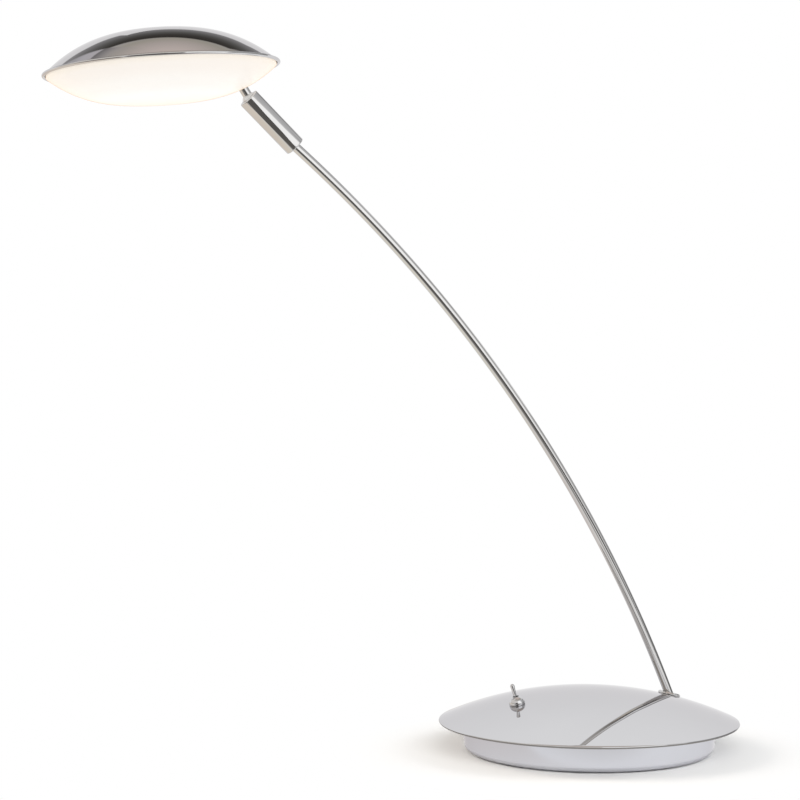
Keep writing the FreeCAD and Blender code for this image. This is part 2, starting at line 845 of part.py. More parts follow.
# Earth tag and screw
earth_plate = block("earth_plate", s.earth_tag_length, s.earth_tag_width, s.earth_tag_thick,
                    earth_spot.multiply(place(-s.earth_tag_length / 2 + s.earth_tag_width / 2, 0, 0)))
earth_eye = rod("earth_eye", s.earth_screw_radius + s.open_clearance, s.overrun * 2,
                earth_spot.multiply(place(0, 0, -s.overrun)))
earth_tag = cut("earth_tag", earth_plate, [earth_eye])
earth_screw = socket_screw(
    "earth_screw", s.earth_screw_radius, s.earth_tag_thick + s.earth_screw_bite,
    s.earth_head_radius, s.earth_head_height,
    earth_spot.multiply(place(0, 0, s.earth_tag_thick, turn((1, 0, 0), 180))))

# Toggle switch: bush through the plate, dome nut above, washer, hexagon nut and body below
washer_floor = -(s.plate_wall + s.seat_gap + s.switch_washer_height)
nut_floor = washer_floor - s.switch_nut_height
switch_bush = turned("switch_bush", [
    (s.switch_bush_bore, nut_floor),
    (s.switch_bush_radius, nut_floor),
    (s.switch_bush_radius, s.switch_bush_above),
    (s.switch_bush_bore, s.switch_bush_above),
], switch_axis)
cap_thread = s.switch_bush_radius + s.screw_fit
cap_shelf = s.switch_bush_above + s.seat_gap
switch_dome_nut = turned("switch_dome_nut", [
    (cap_thread, 0),
    (s.cap_radius, 0),
    (s.cap_radius, s.cap_collar),
    (s.cap_mouth, s.cap_height, s.cap_radius),
    (s.cap_mouth, cap_shelf),
    (cap_thread, cap_shelf),
], switch_axis)
switch_washer = turned("switch_washer", [
    (s.switch_bush_radius + s.seat_gap, washer_floor),
    (s.switch_washer_radius, washer_floor),
    (s.switch_washer_radius, washer_floor + s.switch_washer_height),
    (s.switch_bush_radius + s.seat_gap, washer_floor + s.switch_washer_height),
], switch_axis)
switch_hex_nut = hex_nut("switch_hex_nut", s.switch_nut_flats, s.switch_nut_height,
                         s.switch_bush_radius + s.screw_fit, switch_axis.multiply(place(0, 0, nut_floor)))
switch_core = block("switch_core", s.switch_body_width, s.switch_body_length, s.switch_body_height,
                    switch_axis.multiply(place(0, 0, nut_floor - s.switch_body_height)))
switch_cavity = rod("switch_cavity", s.switch_bush_bore, s.switch_cavity_depth + s.overrun,
                    switch_axis.multiply(place(0, 0, nut_floor - s.switch_cavity_depth)))
switch_body = cut("switch_body", switch_core, [switch_cavity])
blade = block("switch_blade", s.switch_blade_width, s.switch_blade_thick, s.switch_blade_length,
              place(0, 0, nut_floor - s.switch_body_height - s.switch_blade_length))
switch_blades = copies("switch_blades", blade,
                       [switch_axis.multiply(place(0, s.switch_blade_pitch * i, 0)) for i in (-1, 0, 1)])

# Lever: a bat with a ball in the bush, thrown to one side of the switch's axis
lever_axis = switch_axis.multiply(place(0, 0, s.lever_pivot_height, turn((1, 0, 0), -s.lever_throw_angle)))
ball_top = root(s.lever_ball_radius * s.lever_ball_radius - s.lever_neck_radius * s.lever_neck_radius)
ball_low = root(s.lever_ball_radius * s.lever_ball_radius - s.lever_tail_radius * s.lever_tail_radius)
switch_lever = turned("switch_lever", [
    (0, -s.lever_tail_length),
    (s.lever_tail_radius, -s.lever_tail_length),
    (s.lever_tail_radius, -ball_low),
    (s.lever_ball_radius, 0, s.lever_ball_radius),
    (s.lever_neck_radius, ball_top, s.lever_ball_radius),
    (s.lever_neck_radius, s.lever_length * lever_waist_share),
    (s.lever_tip_radius, s.lever_length - s.lever_tip_radius),
    (0, s.lever_length, s.lever_tip_radius),
], lever_axis)

# Arm foot: rosette on the plate, bush below it, friction washer and nut on the arm's spigot
rosette_axis = place(foot_reach, 0, foot_height, turn((0, 1, 0), foot_slope))
rosette_blank = turned("rosette_blank", [
    (0, 0),
    (s.rosette_radius, 0),
    (s.rosette_radius, s.rosette_height - s.rosette_round),
    (s.rosette_radius - s.rosette_round, s.rosette_height, s.rosette_round),
    (0, s.rosette_height),
], rosette_axis)
rosette_hole = rod("rosette_hole", s.arm_radius + s.open_clearance, s.overrun * 3,
                   arm_axis.multiply(place(0, 0, -s.overrun)))
foot_rosette = cut("foot_rosette", rosette_blank, [rosette_hole])

bush_stock = rod("bush_stock", s.foot_bush_radius, s.foot_bush_depth + s.overrun * 2,
                 arm_axis.multiply(place(0, 0, -s.foot_bush_depth)))
bush_trimmed = common("bush_trimmed", bush_stock, under_dome)
bush_bore = rod("bush_bore", s.arm_radius + s.running_clearance, s.foot_bush_depth + s.overrun * 4,
                arm_axis.multiply(place(0, 0, -s.foot_bush_depth - s.overrun)))
foot_bush = cut("foot_bush", bush_trimmed, [bush_bore])

washer_place = arm_axis.multiply(place(0, 0, -s.foot_bush_depth - s.foot_washer_height))
foot_washer = turned("foot_washer", [
    (s.arm_radius + s.seat_gap, 0),
    (s.foot_washer_radius, 0),
    (s.foot_washer_radius, s.foot_washer_height),
    (s.arm_radius + s.seat_gap, s.foot_washer_height),
], washer_place)
foot_nut = hex_nut("foot_nut", s.foot_nut_flats, s.foot_nut_height, s.arm_radius + s.screw_fit,
                   washer_place.multiply(place(0, 0, -s.foot_nut_height)))

# Arm tube: a straight spigot and one long bend
arm_start = arm_axis.multiply(place(0, 0, -spigot_length))
full_turn = 180 / math.pi
insert_angle = s.arm_insert / s.arm_bend_radius * full_turn


def bent(label, outer, inner, bend_angle, placement):
    """A bent tube: straight for the spigot's length, then round the arm's bend."""
    body = doc.addObject("PartDesign::Body", label)
    path = new_sketch(body, f"{label}_path", "XZ_Plane")
    length = number(spigot_length)
    radius = s.arm_bend_radius.value
    line = path.addGeometry(Part.LineSegment(vector(0, 0, 0), vector(0, length, 0)))
    circle = Part.Circle(vector(-radius, length, 0), vector(0, 0, 1), radius)
    arc = path.addGeometry(Part.ArcOfCircle(circle, 0, math.radians(number(bend_angle))))
    path.addConstraint(Sketcher.Constraint("Coincident", line, 1, -1, 1))
    path.addConstraint(Sketcher.Constraint("Vertical", line))
    path.addConstraint(Sketcher.Constraint("Tangent", line, 2, arc, 1))
    bind(path, "DistanceY", (line, 1, line, 2), spigot_length, "spigot")
    bind(path, "Radius", (arc,), s.arm_bend_radius, "bend")
    bind(path, "DistanceY", (line, 2, arc, 2), s.arm_bend_radius * sine(bend_angle), "rise")
    profile = new_sketch(body, f"{label}_section", "XY_Plane")
    for name, size in (("outer", outer), ("inner", inner)):
        if size is not None:
            loop = profile.addGeometry(Part.Circle(vector(0, 0, 0), vector(0, 0, 1), number(size)))
            profile.addConstraint(Sketcher.Constraint("Coincident", loop, 3, -1, 1))
            bind(profile, "Radius", (loop,), size, name)
    pipe = body.newObject("PartDesign::AdditivePipe", f"{label}_pipe")
    pipe.Profile = profile
    pipe.Spine = (path, ["Edge1", "Edge2"])
    body.Placement = placement
    return body


arm_tube = bent("arm_tube", s.arm_radius, s.arm_bore, s.arm_bend_angle + insert_angle, arm_start)
arm_envelope = bent("arm_envelope", s.arm_radius + s.screw_fit, None,
                    s.arm_bend_angle + insert_angle * 2, arm_start)

# The arm's lead runs through the tube and a little way into the sleeve
lead_angle = s.arm_bend_angle + insert_angle + s.arm_lead_out / s.arm_bend_radius * full_turn
arm_lead = bent("arm_lead", s.arm_lead_radius, None, lead_angle, arm_start)

# Knuckle: its own Z axis starts at the sleeve's lower mouth, where the bend ends
bend_end = s.arm_bend_angle.value
mouth = arm_axis.multVec(vector(
    s.arm_bend_radius.value * (math.cos(math.radians(bend_end)) - 1), 0,
    s.arm_bend_radius.value * math.sin(math.radians(bend_end))))
knuckle = FreeCAD.Placement(mouth, turn((0, 1, 0), -s.knuckle_lean_angle))
ball_up = s.knuckle_length - s.ball_recess
socket_radius = s.ball_radius + s.ball_clearance
mouth_radius = root(socket_radius * socket_radius - s.ball_recess * s.ball_recess)
knuckle_sleeve = turned("knuckle_sleeve", [
    (socket_radius, 0),
    (s.knuckle_radius - s.knuckle_round, 0),
    (s.knuckle_radius, s.knuckle_round, s.knuckle_round),
    (s.knuckle_radius, s.knuckle_length - s.knuckle_round),
    (s.knuckle_radius - s.knuckle_round, s.knuckle_length, s.knuckle_round),
    (mouth_radius, s.knuckle_length),
    (socket_radius, ball_up, -socket_radius),
], knuckle)

thread_radius = socket_radius - s.thread_clearance
plug_blank = turned("plug_blank", [
    (0, s.knuckle_plug_recess),
    (thread_radius, s.knuckle_plug_recess),
    (thread_radius, s.knuckle_plug_recess + s.knuckle_plug_length),
    (0, s.knuckle_plug_recess + s.knuckle_plug_length),
], knuckle)
knuckle_plug = cut("knuckle_plug", plug_blank, [arm_envelope])

seat_top = ball_up - s.seat_below_ball
seat_floor = seat_top - s.seat_length
seat_radius = socket_radius - s.seat_side_gap
seat_rim = root(socket_radius * socket_radius - s.seat_below_ball * s.seat_below_ball)
seat_cup = ball_up - root(socket_radius * socket_radius - s.seat_bore * s.seat_bore)
ball_seat = turned("ball_seat", [
    (s.seat_bore, seat_floor),
    (seat_radius, seat_floor),
    (seat_radius, seat_top),
    (seat_rim, seat_top),
    (s.seat_bore, seat_cup, -socket_radius),
], knuckle)

spring_outer = socket_radius - s.spring_side_gap
spring_inner = s.seat_bore
spring_pitch = s.spring_thick + s.spring_cone + s.spring_gap
spring_stack = spring_pitch * COUNTS["spring_count"]
stack_top = seat_floor - s.spring_gap
disc_spring = turned("disc_spring", [
    (spring_inner, 0),
    (spring_outer, s.spring_cone),
    (spring_outer, s.spring_cone + s.spring_thick),
    (spring_inner, s.spring_thick),
])


def spring_place(i):
    """Cones stacked in pairs, base to base and tip to tip."""
    floor = stack_top - spring_pitch * (i + 1)
    if i % 2:
        return knuckle.multiply(place(0, 0, floor + s.spring_cone + s.spring_thick, turn((1, 0, 0), 180)))
    return knuckle.multiply(place(0, 0, floor))


disc_springs = copies("disc_springs", disc_spring, [spring_place(i) for i in range(COUNTS["spring_count"])])

adjuster_top = stack_top - spring_stack - s.spring_gap
adjuster_blank = turned("adjuster_blank", [
    (s.adjuster_bore, adjuster_top - s.adjuster_height),
    (thread_radius, adjuster_top - s.adjuster_height),
    (thread_radius, adjuster_top),
    (s.adjuster_bore, adjuster_top),
], knuckle)
adjuster_slot = block("adjuster_slot_tool", socket_radius * 3, s.adjuster_slot, s.adjuster_slot + s.overrun,
                      knuckle.multiply(place(0, 0, adjuster_top - s.adjuster_height - s.overrun)))
adjuster_plug = cut("adjuster_plug", adjuster_blank, [adjuster_slot])

# Head: its own frame is the middle of the rim, +X towards the arm's foot
stud_reach = s.head_radius * stud_share
sink_radius = s.head_radius - s.sink_inset
dish_post_circle = s.head_radius - s.dish_post_inset
ball_centre = knuckle.multVec(vector(0, 0, ball_up))
head_turn = turn((0, 1, 0), -s.head_tilt_angle)
head_shift = head_turn.multVec(vector(stud_reach, 0, -s.stud_drop))
head = FreeCAD.Placement(ball_centre - head_shift, head_turn)
stud_axis = head.multiply(place(stud_reach, 0, -s.stud_drop, turn((0, 1, 0), -s.stud_tilt_angle)))

# Ball stud, which ends a little below the top of the block that holds it
block_top = s.sink_height + s.sink_thick + s.block_height
stud_way = (block_top + s.stud_drop) / cosine(s.stud_tilt_angle)
stud_length = stud_way - s.stud_sunk
stud_low = root(s.ball_radius * s.ball_radius - s.stud_bore * s.stud_bore)
stud_high = root(s.ball_radius * s.ball_radius - s.stud_radius * s.stud_radius)
ball_stud = turned("ball_stud", [
    (s.stud_bore, -stud_low),
    (s.ball_radius, 0, s.ball_radius),
    (s.stud_radius, stud_high, s.ball_radius),
    (s.stud_radius, stud_length),
    (s.stud_bore, stud_length),
], stud_axis)

# Dish with its rolled bead
dish = crowned(s.head_radius - s.bead_radius, s.dish_rise, s.dish_crown_radius, s.dish_crown_angle)
dish_joint = crown_point(dish)
dish_joint_inside = crown_point(dish, s.dish_wall)
dish_shell = turned("dish_shell", [
    (0, s.dish_rise),
    (*dish_joint, -dish.crown),
    (s.head_radius - s.bead_radius, 0, -dish.shoulder),
    (shoulder_reach(dish, s.dish_wall, 0), 0),
    (*dish_joint_inside, dish.shoulder - s.dish_wall),
    (0, s.dish_rise - s.dish_wall, dish.crown - s.dish_wall),
], head)
dish_bead = doc.addObject("Part::Torus", "dish_bead")
dish_bead.setExpression("Radius1", wording(s.head_radius - s.bead_radius))
dish_bead.setExpression("Radius2", wording(s.bead_radius))
dish_bead.Placement = head
head_dish = fuse("head_dish", [dish_shell, dish_bead])

# Diffuser: modelled crown up, then turned over under the rim
diffuser_rim = s.head_radius - s.bead_radius * 2 - s.diffuser_gap
bowl = crowned(diffuser_rim, s.diffuser_depth, s.diffuser_crown_radius, s.diffuser_crown_angle)
bowl_joint = crown_point(bowl)
bowl_joint_inside = crown_point(bowl, s.diffuser_wall)
bowl_lip = shoulder_reach(bowl, s.diffuser_wall, -s.diffuser_edge)
diffuser_axis = head.multiply(place(0, 0, -s.diffuser_drop, turn((1, 0, 0), 180)))
bowl_blank = turned("bowl_blank", [
    (0, s.diffuser_depth),
    (*bowl_joint, -bowl.crown),
    (diffuser_rim, 0, -bowl.shoulder),
    (diffuser_rim, -s.diffuser_edge),
    (bowl_lip, -s.diffuser_edge),
    (*bowl_joint_inside, bowl.shoulder - s.diffuser_wall),
    (0, s.diffuser_depth - s.diffuser_wall, bowl.crown - s.diffuser_wall),
], diffuser_axis)
stud_hole = rod("stud_hole", s.stud_radius + s.stud_hole_gap, stud_length, stud_axis)
diffuser = cut("diffuser", bowl_blank, [stud_hole])

# Silicone seal between the diffuser's edge and the dish
seal_floor = s.diffuser_edge - s.diffuser_drop + s.seal_gap
seal_outer = shoulder_reach(dish, s.dish_wall + s.seal_gap, 0)
seal_inner = seal_outer - s.seal_width
seal_ring = turned("seal_ring", [
    (seal_inner, seal_floor),
    (seal_outer, seal_floor),
    (seal_outer, 0),
    (seal_inner, shoulder_height(dish, s.dish_wall + s.seal_gap * 2, seal_inner)),
], head)

# Heat sink plate, held under the dish by three posts
sink_top = s.sink_height + s.sink_thick
stud_slope = sine(s.stud_tilt_angle) / cosine(s.stud_tilt_angle)
block_offset = stud_reach - (sink_top + s.block_height / 2 + s.stud_drop) * stud_slope
block_screw_reach = block_offset - s.block_length / 2 + s.block_screw_inset
board_radius = block_screw_reach - s.block_head_radius
board_screw_circle = board_radius - s.board_screw_inset
sink_blank = drilled_disc("sink_blank", sink_radius, s.sink_thick, [
    (s.sink_screw_radius + s.open_clearance, dish_post_circle, post_count, s.dish_post_start_angle),
    (s.board_screw_radius + s.screw_fit, board_screw_circle, post_count, s.board_screw_start_angle),
], head.multiply(place(0, 0, s.sink_height)))
sink_slot = rod("sink_slot", s.stud_radius + s.sink_slot_gap, stud_length, stud_axis)
block_spots = [
    head.multiply(place(block_screw_reach, s.block_screw_spread * side, 0))
    for side in (-1, 1)]
block_passes = [
    rod(f"block_pass_{i}", s.block_screw_radius + s.seat_gap, s.overrun * 3,
        spot.multiply(place(0, 0, -s.overrun)))
    for i, spot in enumerate(block_spots)]
heat_sink_plate = cut("heat_sink_plate", sink_blank, [sink_slot] + block_passes)

dish_post_top = shoulder_height(dish, s.dish_wall + s.seat_gap, dish_post_circle + s.dish_post_radius)
dish_post = turned("dish_post", [
    (s.sink_screw_radius + s.screw_fit, sink_top),
    (s.dish_post_radius, sink_top),
    (s.dish_post_radius, dish_post_top),
    (0, dish_post_top),
    (0, sink_top + s.sink_screw_bite + s.seat_gap),
    (s.sink_screw_radius + s.screw_fit, sink_top + s.sink_screw_bite + s.seat_gap),
])
dish_post_spots = [
    head.multiply(spot) for spot in ring(post_count, dish_post_circle, 0, s.dish_post_start_angle)]
dish_posts = copies("dish_posts", dish_post, dish_post_spots)
sink_screw = socket_screw("sink_screw", s.sink_screw_radius, s.sink_thick + s.sink_screw_bite,
                          s.sink_head_radius, s.sink_head_height, place(0, 0, s.sink_height))
sink_screws = copies("sink_screws", sink_screw, dish_post_spots)

# Lamp board under the plate
board_floor = s.sink_height - s.board_thick
led_board = drilled_disc("led_board", board_radius, s.board_thick, [
    (s.board_screw_radius + s.seat_gap, board_screw_circle, post_count, s.board_screw_start_angle),
], head.multiply(place(0, 0, board_floor)))
board_screw = socket_screw("board_screw", s.board_screw_radius, s.board_thick + s.sink_thick,
                           s.board_head_radius, s.board_head_height, place(0, 0, board_floor))
board_screws = copies("board_screws", board_screw, [
    head.multiply(spot)
    for spot in ring(post_count, board_screw_circle, 0, s.board_screw_start_angle)])
led_chip = block("led_chip", s.lamp_side, s.lamp_side, s.lamp_height,
                 place(0, 0, board_floor - s.lamp_height))
lamp_spots = ring(COUNTS["lamp_outer_count"], board_radius * outer_lamp_share)
lamp_spots += ring(COUNTS["lamp_inner_count"], board_radius * inner_lamp_share)
led_chips = copies("led_chips", led_chip, [head.multiply(spot) for spot in lamp_spots])

# Stud block on the plate, its two screws from below and the grub screw that holds the stud
block_floor = head.multiply(place(block_offset, 0, sink_top))
block_body = rounded(
    "block_body", block("block_core", s.block_length, s.block_width, s.block_height),
    s.block_round, upright)
block_placed = copies("block_placed", block_body, [block_floor])
block_bore = rod("block_bore", s.stud_radius + s.screw_fit, stud_length * 2, stud_axis)
block_threads = [
    rod(f"block_thread_{i}", s.block_screw_radius + s.screw_fit,
        sink_top + s.block_screw_bite + s.seat_gap, spot)
    for i, spot in enumerate(block_spots)]
grub_height = sink_top + s.block_height / 2
grub_axis = head.multiply(
    place(block_offset, -s.stud_radius - s.screw_fit, grub_height, turn((1, 0, 0), 90)))
grub_hole = rod("grub_hole", s.grub_radius + s.screw_fit, s.block_width, grub_axis)
stud_block = cut("stud_block", block_placed, [block_bore, grub_hole] + block_threads)
stud_grub = rod("stud_grub_screw", s.grub_radius, s.grub_length,
                grub_axis.multiply(place(0, 0, s.seat_gap)))
block_screw = socket_screw("block_screw", s.block_screw_radius, s.sink_thick + s.block_screw_bite,
                           s.block_head_radius, s.block_head_height, place(0, 0, s.sink_height))
block_screws = copies("block_screws", block_screw, block_spots)

# Spring clips: a tab under the plate and a leg that presses on the diffuser's inside
clip_edge = sink_radius - s.clip_inset
clip_top = s.sink_height - s.clip_thick
tip_height = -s.diffuser_drop - shoulder_height(
    bowl, s.diffuser_wall + s.seat_gap, clip_edge + s.clip_reach)
clip_drop = clip_top - tip_height
clip_tab = block("clip_tab_stock", s.clip_tab, s.clip_width, s.clip_thick,
                 place(clip_edge - s.clip_tab / 2, 0, clip_top))
clip_leg = doc.addObject("Part::Box", "clip_leg_stock")
clip_leg.setExpression("Length", wording(root(s.clip_reach * s.clip_reach + clip_drop * clip_drop)))
clip_leg.setExpression("Width", wording(s.clip_width))
clip_leg.setExpression("Height", wording(s.clip_thick))
leg_turn = math.degrees(math.atan2(clip_drop.value, s.clip_reach.value))
clip_leg.Placement = place(clip_edge, -s.clip_width / 2, clip_top, turn((0, 1, 0), leg_turn))
diffuser_clip = fuse("diffuser_clip", [clip_tab, clip_leg])
diffuser_clips = copies("diffuser_clips", diffuser_clip, [
    head.multiply(spin(s.clip_start_angle.value + i * 360 / post_count)) for i in range(post_count)])

# Lead through the stud to a small terminal on the plate
head_terminal = block("head_terminal", s.head_terminal_side, s.head_terminal_side, s.head_terminal_height,
                      head.multiply(place(s.head_terminal_reach, 0, sink_top)))
stud_mouth = stud_axis.multVec(vector(0, 0, stud_way + s.head_lead_radius * 2))
stud_tail = stud_axis.multVec(vector(0, 0, -stud_low))
terminal_top = head.multVec(vector(s.head_terminal_reach, 0, sink_top + s.head_terminal_height))
terminal_above = head.multVec(vector(
    s.head_terminal_reach, 0, sink_top + s.head_terminal_height + s.head_lead_bend))
head_lead = lead_node("head_lead", [[stud_tail, stud_mouth, terminal_above, terminal_top]],
                      s.head_lead_radius, s.head_lead_bend / 2)

# Wires in the base
wire_height = ballast_top + s.driver_height / 2
driver_end = driver_length / 2
switch_low = nut_floor - s.switch_body_height - s.switch_blade_length
wire_runs = []
for side in (-1, 1):
    blade_tip = switch_axis.multVec(vector(0, s.switch_blade_pitch * side, switch_low))
    start = switch_axis.multVec(vector(s.switch_blade_width / 2 + s.wire_radius,
                                       s.switch_blade_pitch * side, switch_low + s.wire_radius))
    end = vector(-driver_end - s.wire_gap, blade_tip.y, wire_height)
    wire_runs.append([start, FreeCAD.Vector((start.x + end.x) / 2, blade_tip.y, start.z), end])
switch_wires = lead_node("switch_wires", wire_runs, s.wire_radius, s.wire_bend / 2)

SUBPARTS = [
    base_plate, base_drum, ballast_disc, base_pad, cover_posts, cover_screws,
    driver_case, driver_screws, terminal_block, terminal_screws, earth_tag, earth_screw, cable_inlet_bush,
    switch_bush, switch_dome_nut, switch_washer, switch_hex_nut, switch_body, switch_blades, switch_wires,
    switch_lever, foot_rosette, foot_bush, foot_washer, foot_nut, arm_tube, arm_lead,
    knuckle_sleeve, knuckle_plug, adjuster_plug, disc_springs, ball_seat,
    ball_stud, head_dish, seal_ring, diffuser, diffuser_clips, heat_sink_plate, dish_posts, sink_screws,
    stud_block, stud_grub, block_screws, led_board, board_screws, led_chips, head_terminal, head_lead,
]

# Checks, then one file for each sub-part
doc.recompute()
for item in doc.Objects:
    if "Invalid" in item.State or "Error" in item.State:
        raise RuntimeError(f"{item.Label} did not compute: {item.State}")
os.makedirs("parts", exist_ok=True)
for item in SUBPARTS:
    shape = item.Shape
    if shape.isNull() or not shape.isValid() or not shape.Solids:
        raise RuntimeError(f"{item.Label} has no valid solid")
for item in SUBPARTS:
    item.Shape.exportStep(os.path.join("parts", f"{item.Label}.step"))
    print(f"{item.Label}: {len(item.Shape.Solids)} solid, {item.Shape.Volume:.0f} mm3")
print(f"{len(SUBPARTS)} sub-parts")
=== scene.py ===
# %% [markdown]
# # A polished desk lamp, piece by piece
#
# The lamp has a domed round base on a smaller drum, a thin arched tube, a sleeve with a ball joint and a
# lens-shaped head that glows from below. Nearly all of it is polished chrome, so what we really model is
# smooth surfaces and the studio that they mirror.
#
# The first cell loads the engineered lamp as a fixed frame. Its moving bodies, the base, the arm, the ball
# seat, the head and the switch lever, are what every new piece rides on.

# %% Load the lamp's frame
import json
import math

import bmesh
import bpy
import numpy as np
from mathutils import Matrix, Vector


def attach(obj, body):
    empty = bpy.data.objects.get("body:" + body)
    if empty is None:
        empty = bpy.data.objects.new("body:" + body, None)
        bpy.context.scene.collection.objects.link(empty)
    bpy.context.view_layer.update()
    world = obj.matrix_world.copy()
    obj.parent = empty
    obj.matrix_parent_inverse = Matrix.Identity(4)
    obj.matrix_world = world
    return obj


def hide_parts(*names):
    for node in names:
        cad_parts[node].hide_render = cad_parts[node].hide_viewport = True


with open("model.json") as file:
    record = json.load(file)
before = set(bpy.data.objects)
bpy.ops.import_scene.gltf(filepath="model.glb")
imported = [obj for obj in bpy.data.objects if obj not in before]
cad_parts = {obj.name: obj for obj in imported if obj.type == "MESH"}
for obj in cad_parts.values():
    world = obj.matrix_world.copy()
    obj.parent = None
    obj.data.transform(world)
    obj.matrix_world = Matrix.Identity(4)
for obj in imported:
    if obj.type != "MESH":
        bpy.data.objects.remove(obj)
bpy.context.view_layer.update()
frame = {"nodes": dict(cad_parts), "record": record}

# %% [markdown]
# ## The camera comes first
#
# The photograph was taken from a little above the table, with a long lens and the head nearer to us than the
# foot. A wide lens from nearby would fill the frame as well, but would draw the near head too large beside the
# base. So the camera stands 1.35 m away, 22 degrees round from square to the arm, and looks down by three
# quarters of a degree.

# %% The camera
view_turn, view_dip = math.radians(22), 0.01287
view_from = (-0.6215, -1.2022, 0.2513)
focal_length, sensor_width = 90.9, 36
camera_data = bpy.data.cameras.new("lamp_camera")
camera_data.lens, camera_data.sensor_width = focal_length, sensor_width
camera = bpy.data.objects.new("lamp_camera", camera_data)
camera.location = view_from
camera.rotation_euler = (math.pi / 2 - view_dip, 0, -view_turn)
bpy.context.scene.collection.objects.link(camera)
bpy.context.scene.camera = camera
bpy.context.scene.view_settings.view_transform = "Standard"
print("camera at", tuple(round(c, 3) for c in camera.location))

# %% [markdown]
# ## The lamp's own measures
#
# These are the real sizes of the lamp in millimetres. The base is a shallow dome, a slice of a large sphere,
# so its height at any distance from the middle follows from the sphere's radius. The arm leaves the plate at
# a slant and is one long arc. The sleeve and the head each have a frame of their own, found by walking along
# it: from the foot to the tube's mouth, up the sleeve to the ball, and along the stud to the head's middle.

# %% Sizes in millimetres
MILLIMETRE = 0.001
plate_radius, plate_wall = 100.0, 1.5           # the plate and its sheet
plate_lift, skirt, dome_rise = 18.8, 1.5, 21.1  # the edge's underside, the upright edge, the dome over it
foot_reach, switch_reach = 61.5, 56.1           # the arm and the switch, from the plate's middle
switch_turn = math.radians(187)
arm_lean, arm_bend, arm_sweep = math.radians(22.65), 927.7, math.radians(28.01)
tube_radius, tube_break = 3.0, 0.2              # the tube, and the broken edge at its ends
knuckle_lean, knuckle_length = math.radians(46.72), 42.7
ball_radius, ball_recess = 5.2, 2.6             # the ball, and its middle below the sleeve's mouth
head_lean, stud_lean = math.radians(4.64), math.radians(29.76)
head_radius, bead_radius = 72.76, 1.1
stud_reach, stud_drop = head_radius * 0.7655, 20.7
dome_radius = (plate_radius ** 2 + dome_rise ** 2) / (2 * dome_rise)
dome_middle = plate_lift + skirt + dome_rise - dome_radius
print(f"the plate is a slice of a sphere with a radius of {dome_radius:.1f} mm")


# %% Frames along the lamp
def dome(reach, sphere=dome_radius):
    """Height of a spherical dome: the sphere's middle plus the root of radius squared minus reach squared."""
    return dome_middle + np.sqrt(sphere ** 2 - np.asarray(reach, float) ** 2)


def leaned(angle, at):
    """A frame at a point, tilted about Y so that its own Z leans towards -X by the angle."""
    return Matrix.Translation(Vector(at)) @ Matrix.Rotation(-angle, 4, "Y")


upright = Matrix.Identity(4)
foot_at = (foot_reach, 0, float(dome(foot_reach)))
foot = leaned(arm_lean, foot_at)
mouth = foot @ Vector((arm_bend * (math.cos(arm_sweep) - 1), 0, arm_bend * math.sin(arm_sweep)))
knuckle = leaned(knuckle_lean, mouth)
ball = knuckle @ Vector((0, 0, knuckle_length - ball_recess))
head = leaned(head_lean, ball - Matrix.Rotation(-head_lean, 3, "Y") @ Vector((stud_reach, 0, -stud_drop)))
stud = leaned(head_lean + stud_lean, ball)
print("head's middle at", tuple(round(c, 1) for c in head.translation), "mm")


# %% [markdown]
# ## Surfaces from grids of points
#
# Every new piece is a surface worked out on a grid: a flat outline carried round an axis or along a path.
# Numpy computes all the points at once and foreach_set puts them into a mesh. Modelling by hand would do too,
# but chrome shows each uneven facet, and a formula has none.

# %% From a grid to a mesh
def grid_mesh(name, points, wrap_rows, wrap_columns):
    """A mesh of four-cornered faces over a grid of points with the shape (rows, columns, 3), in metres.

    Face (i, j) joins the points (i, j), (i, j+1), (i+1, j+1) and (i+1, j); a wrapped side joins the last to
    the first. Points that coincide, at a pole, are merged, and the faces are made to look outwards.
    """
    rows, columns = points.shape[:2]
    i = np.arange(rows if wrap_rows else rows - 1)[:, None]
    j = np.arange(columns if wrap_columns else columns - 1)[None, :]
    i2, j2 = (i + 1) % rows, (j + 1) % columns
    corners = [i * columns + j, i * columns + j2, i2 * columns + j2, i2 * columns + j]
    quads = np.stack(corners, -1).reshape(-1, 4)
    mesh = bpy.data.meshes.new(name)
    mesh.vertices.add(rows * columns)
    mesh.vertices.foreach_set("co", np.ascontiguousarray(points, np.float32).ravel())
    mesh.loops.add(quads.size)
    mesh.loops.foreach_set("vertex_index", quads.astype(np.int32).ravel())
    mesh.polygons.add(len(quads))
    mesh.polygons.foreach_set("loop_start", np.arange(0, quads.size, 4, dtype=np.int32))
    mesh.update(calc_edges=True)
    work = bmesh.new()
    work.from_mesh(mesh)
    bmesh.ops.remove_doubles(work, verts=work.verts, dist=1e-7)
    bmesh.ops.recalc_face_normals(work, faces=work.faces)
    work.to_mesh(mesh)
    work.free()
    mesh.polygons.foreach_set("use_smooth", np.ones(len(mesh.polygons), bool))
    return mesh


print("helper: grid_mesh")


# %% Turned surfaces
def placed(points, place):
    """Points in a frame's own millimetres as points of the lamp in metres: turned, moved, then scaled."""
    m = np.array(place)
    return (points @ m[:3, :3].T + m[:3, 3]) * MILLIMETRE


def turned(name, outline, place, segments, closed=True):
    """A surface of revolution: outline point (r, z) at the angle t is (r cos t, r sin t, z) in the place's frame."""
    t = np.linspace(0, 2 * np.pi, segments, endpoint=False)[:, None]
    r, z = outline[None, :, 0], outline[None, :, 1]
    own = np.stack([r * np.cos(t), r * np.sin(t), z + 0 * t], -1)
    return grid_mesh(name, placed(own, place), True, closed)


print("helpers: placed, turned")


# %% [markdown]
# ## Outlines with soft corners
#
# No real edge is perfectly sharp, and the small round on an edge is what catches the light. So the corners of
# an outline become short curves before it is carried round. A supporting point on both sides of each corner
# keeps the flat faces beside it flat, because smooth shading would otherwise bend them.

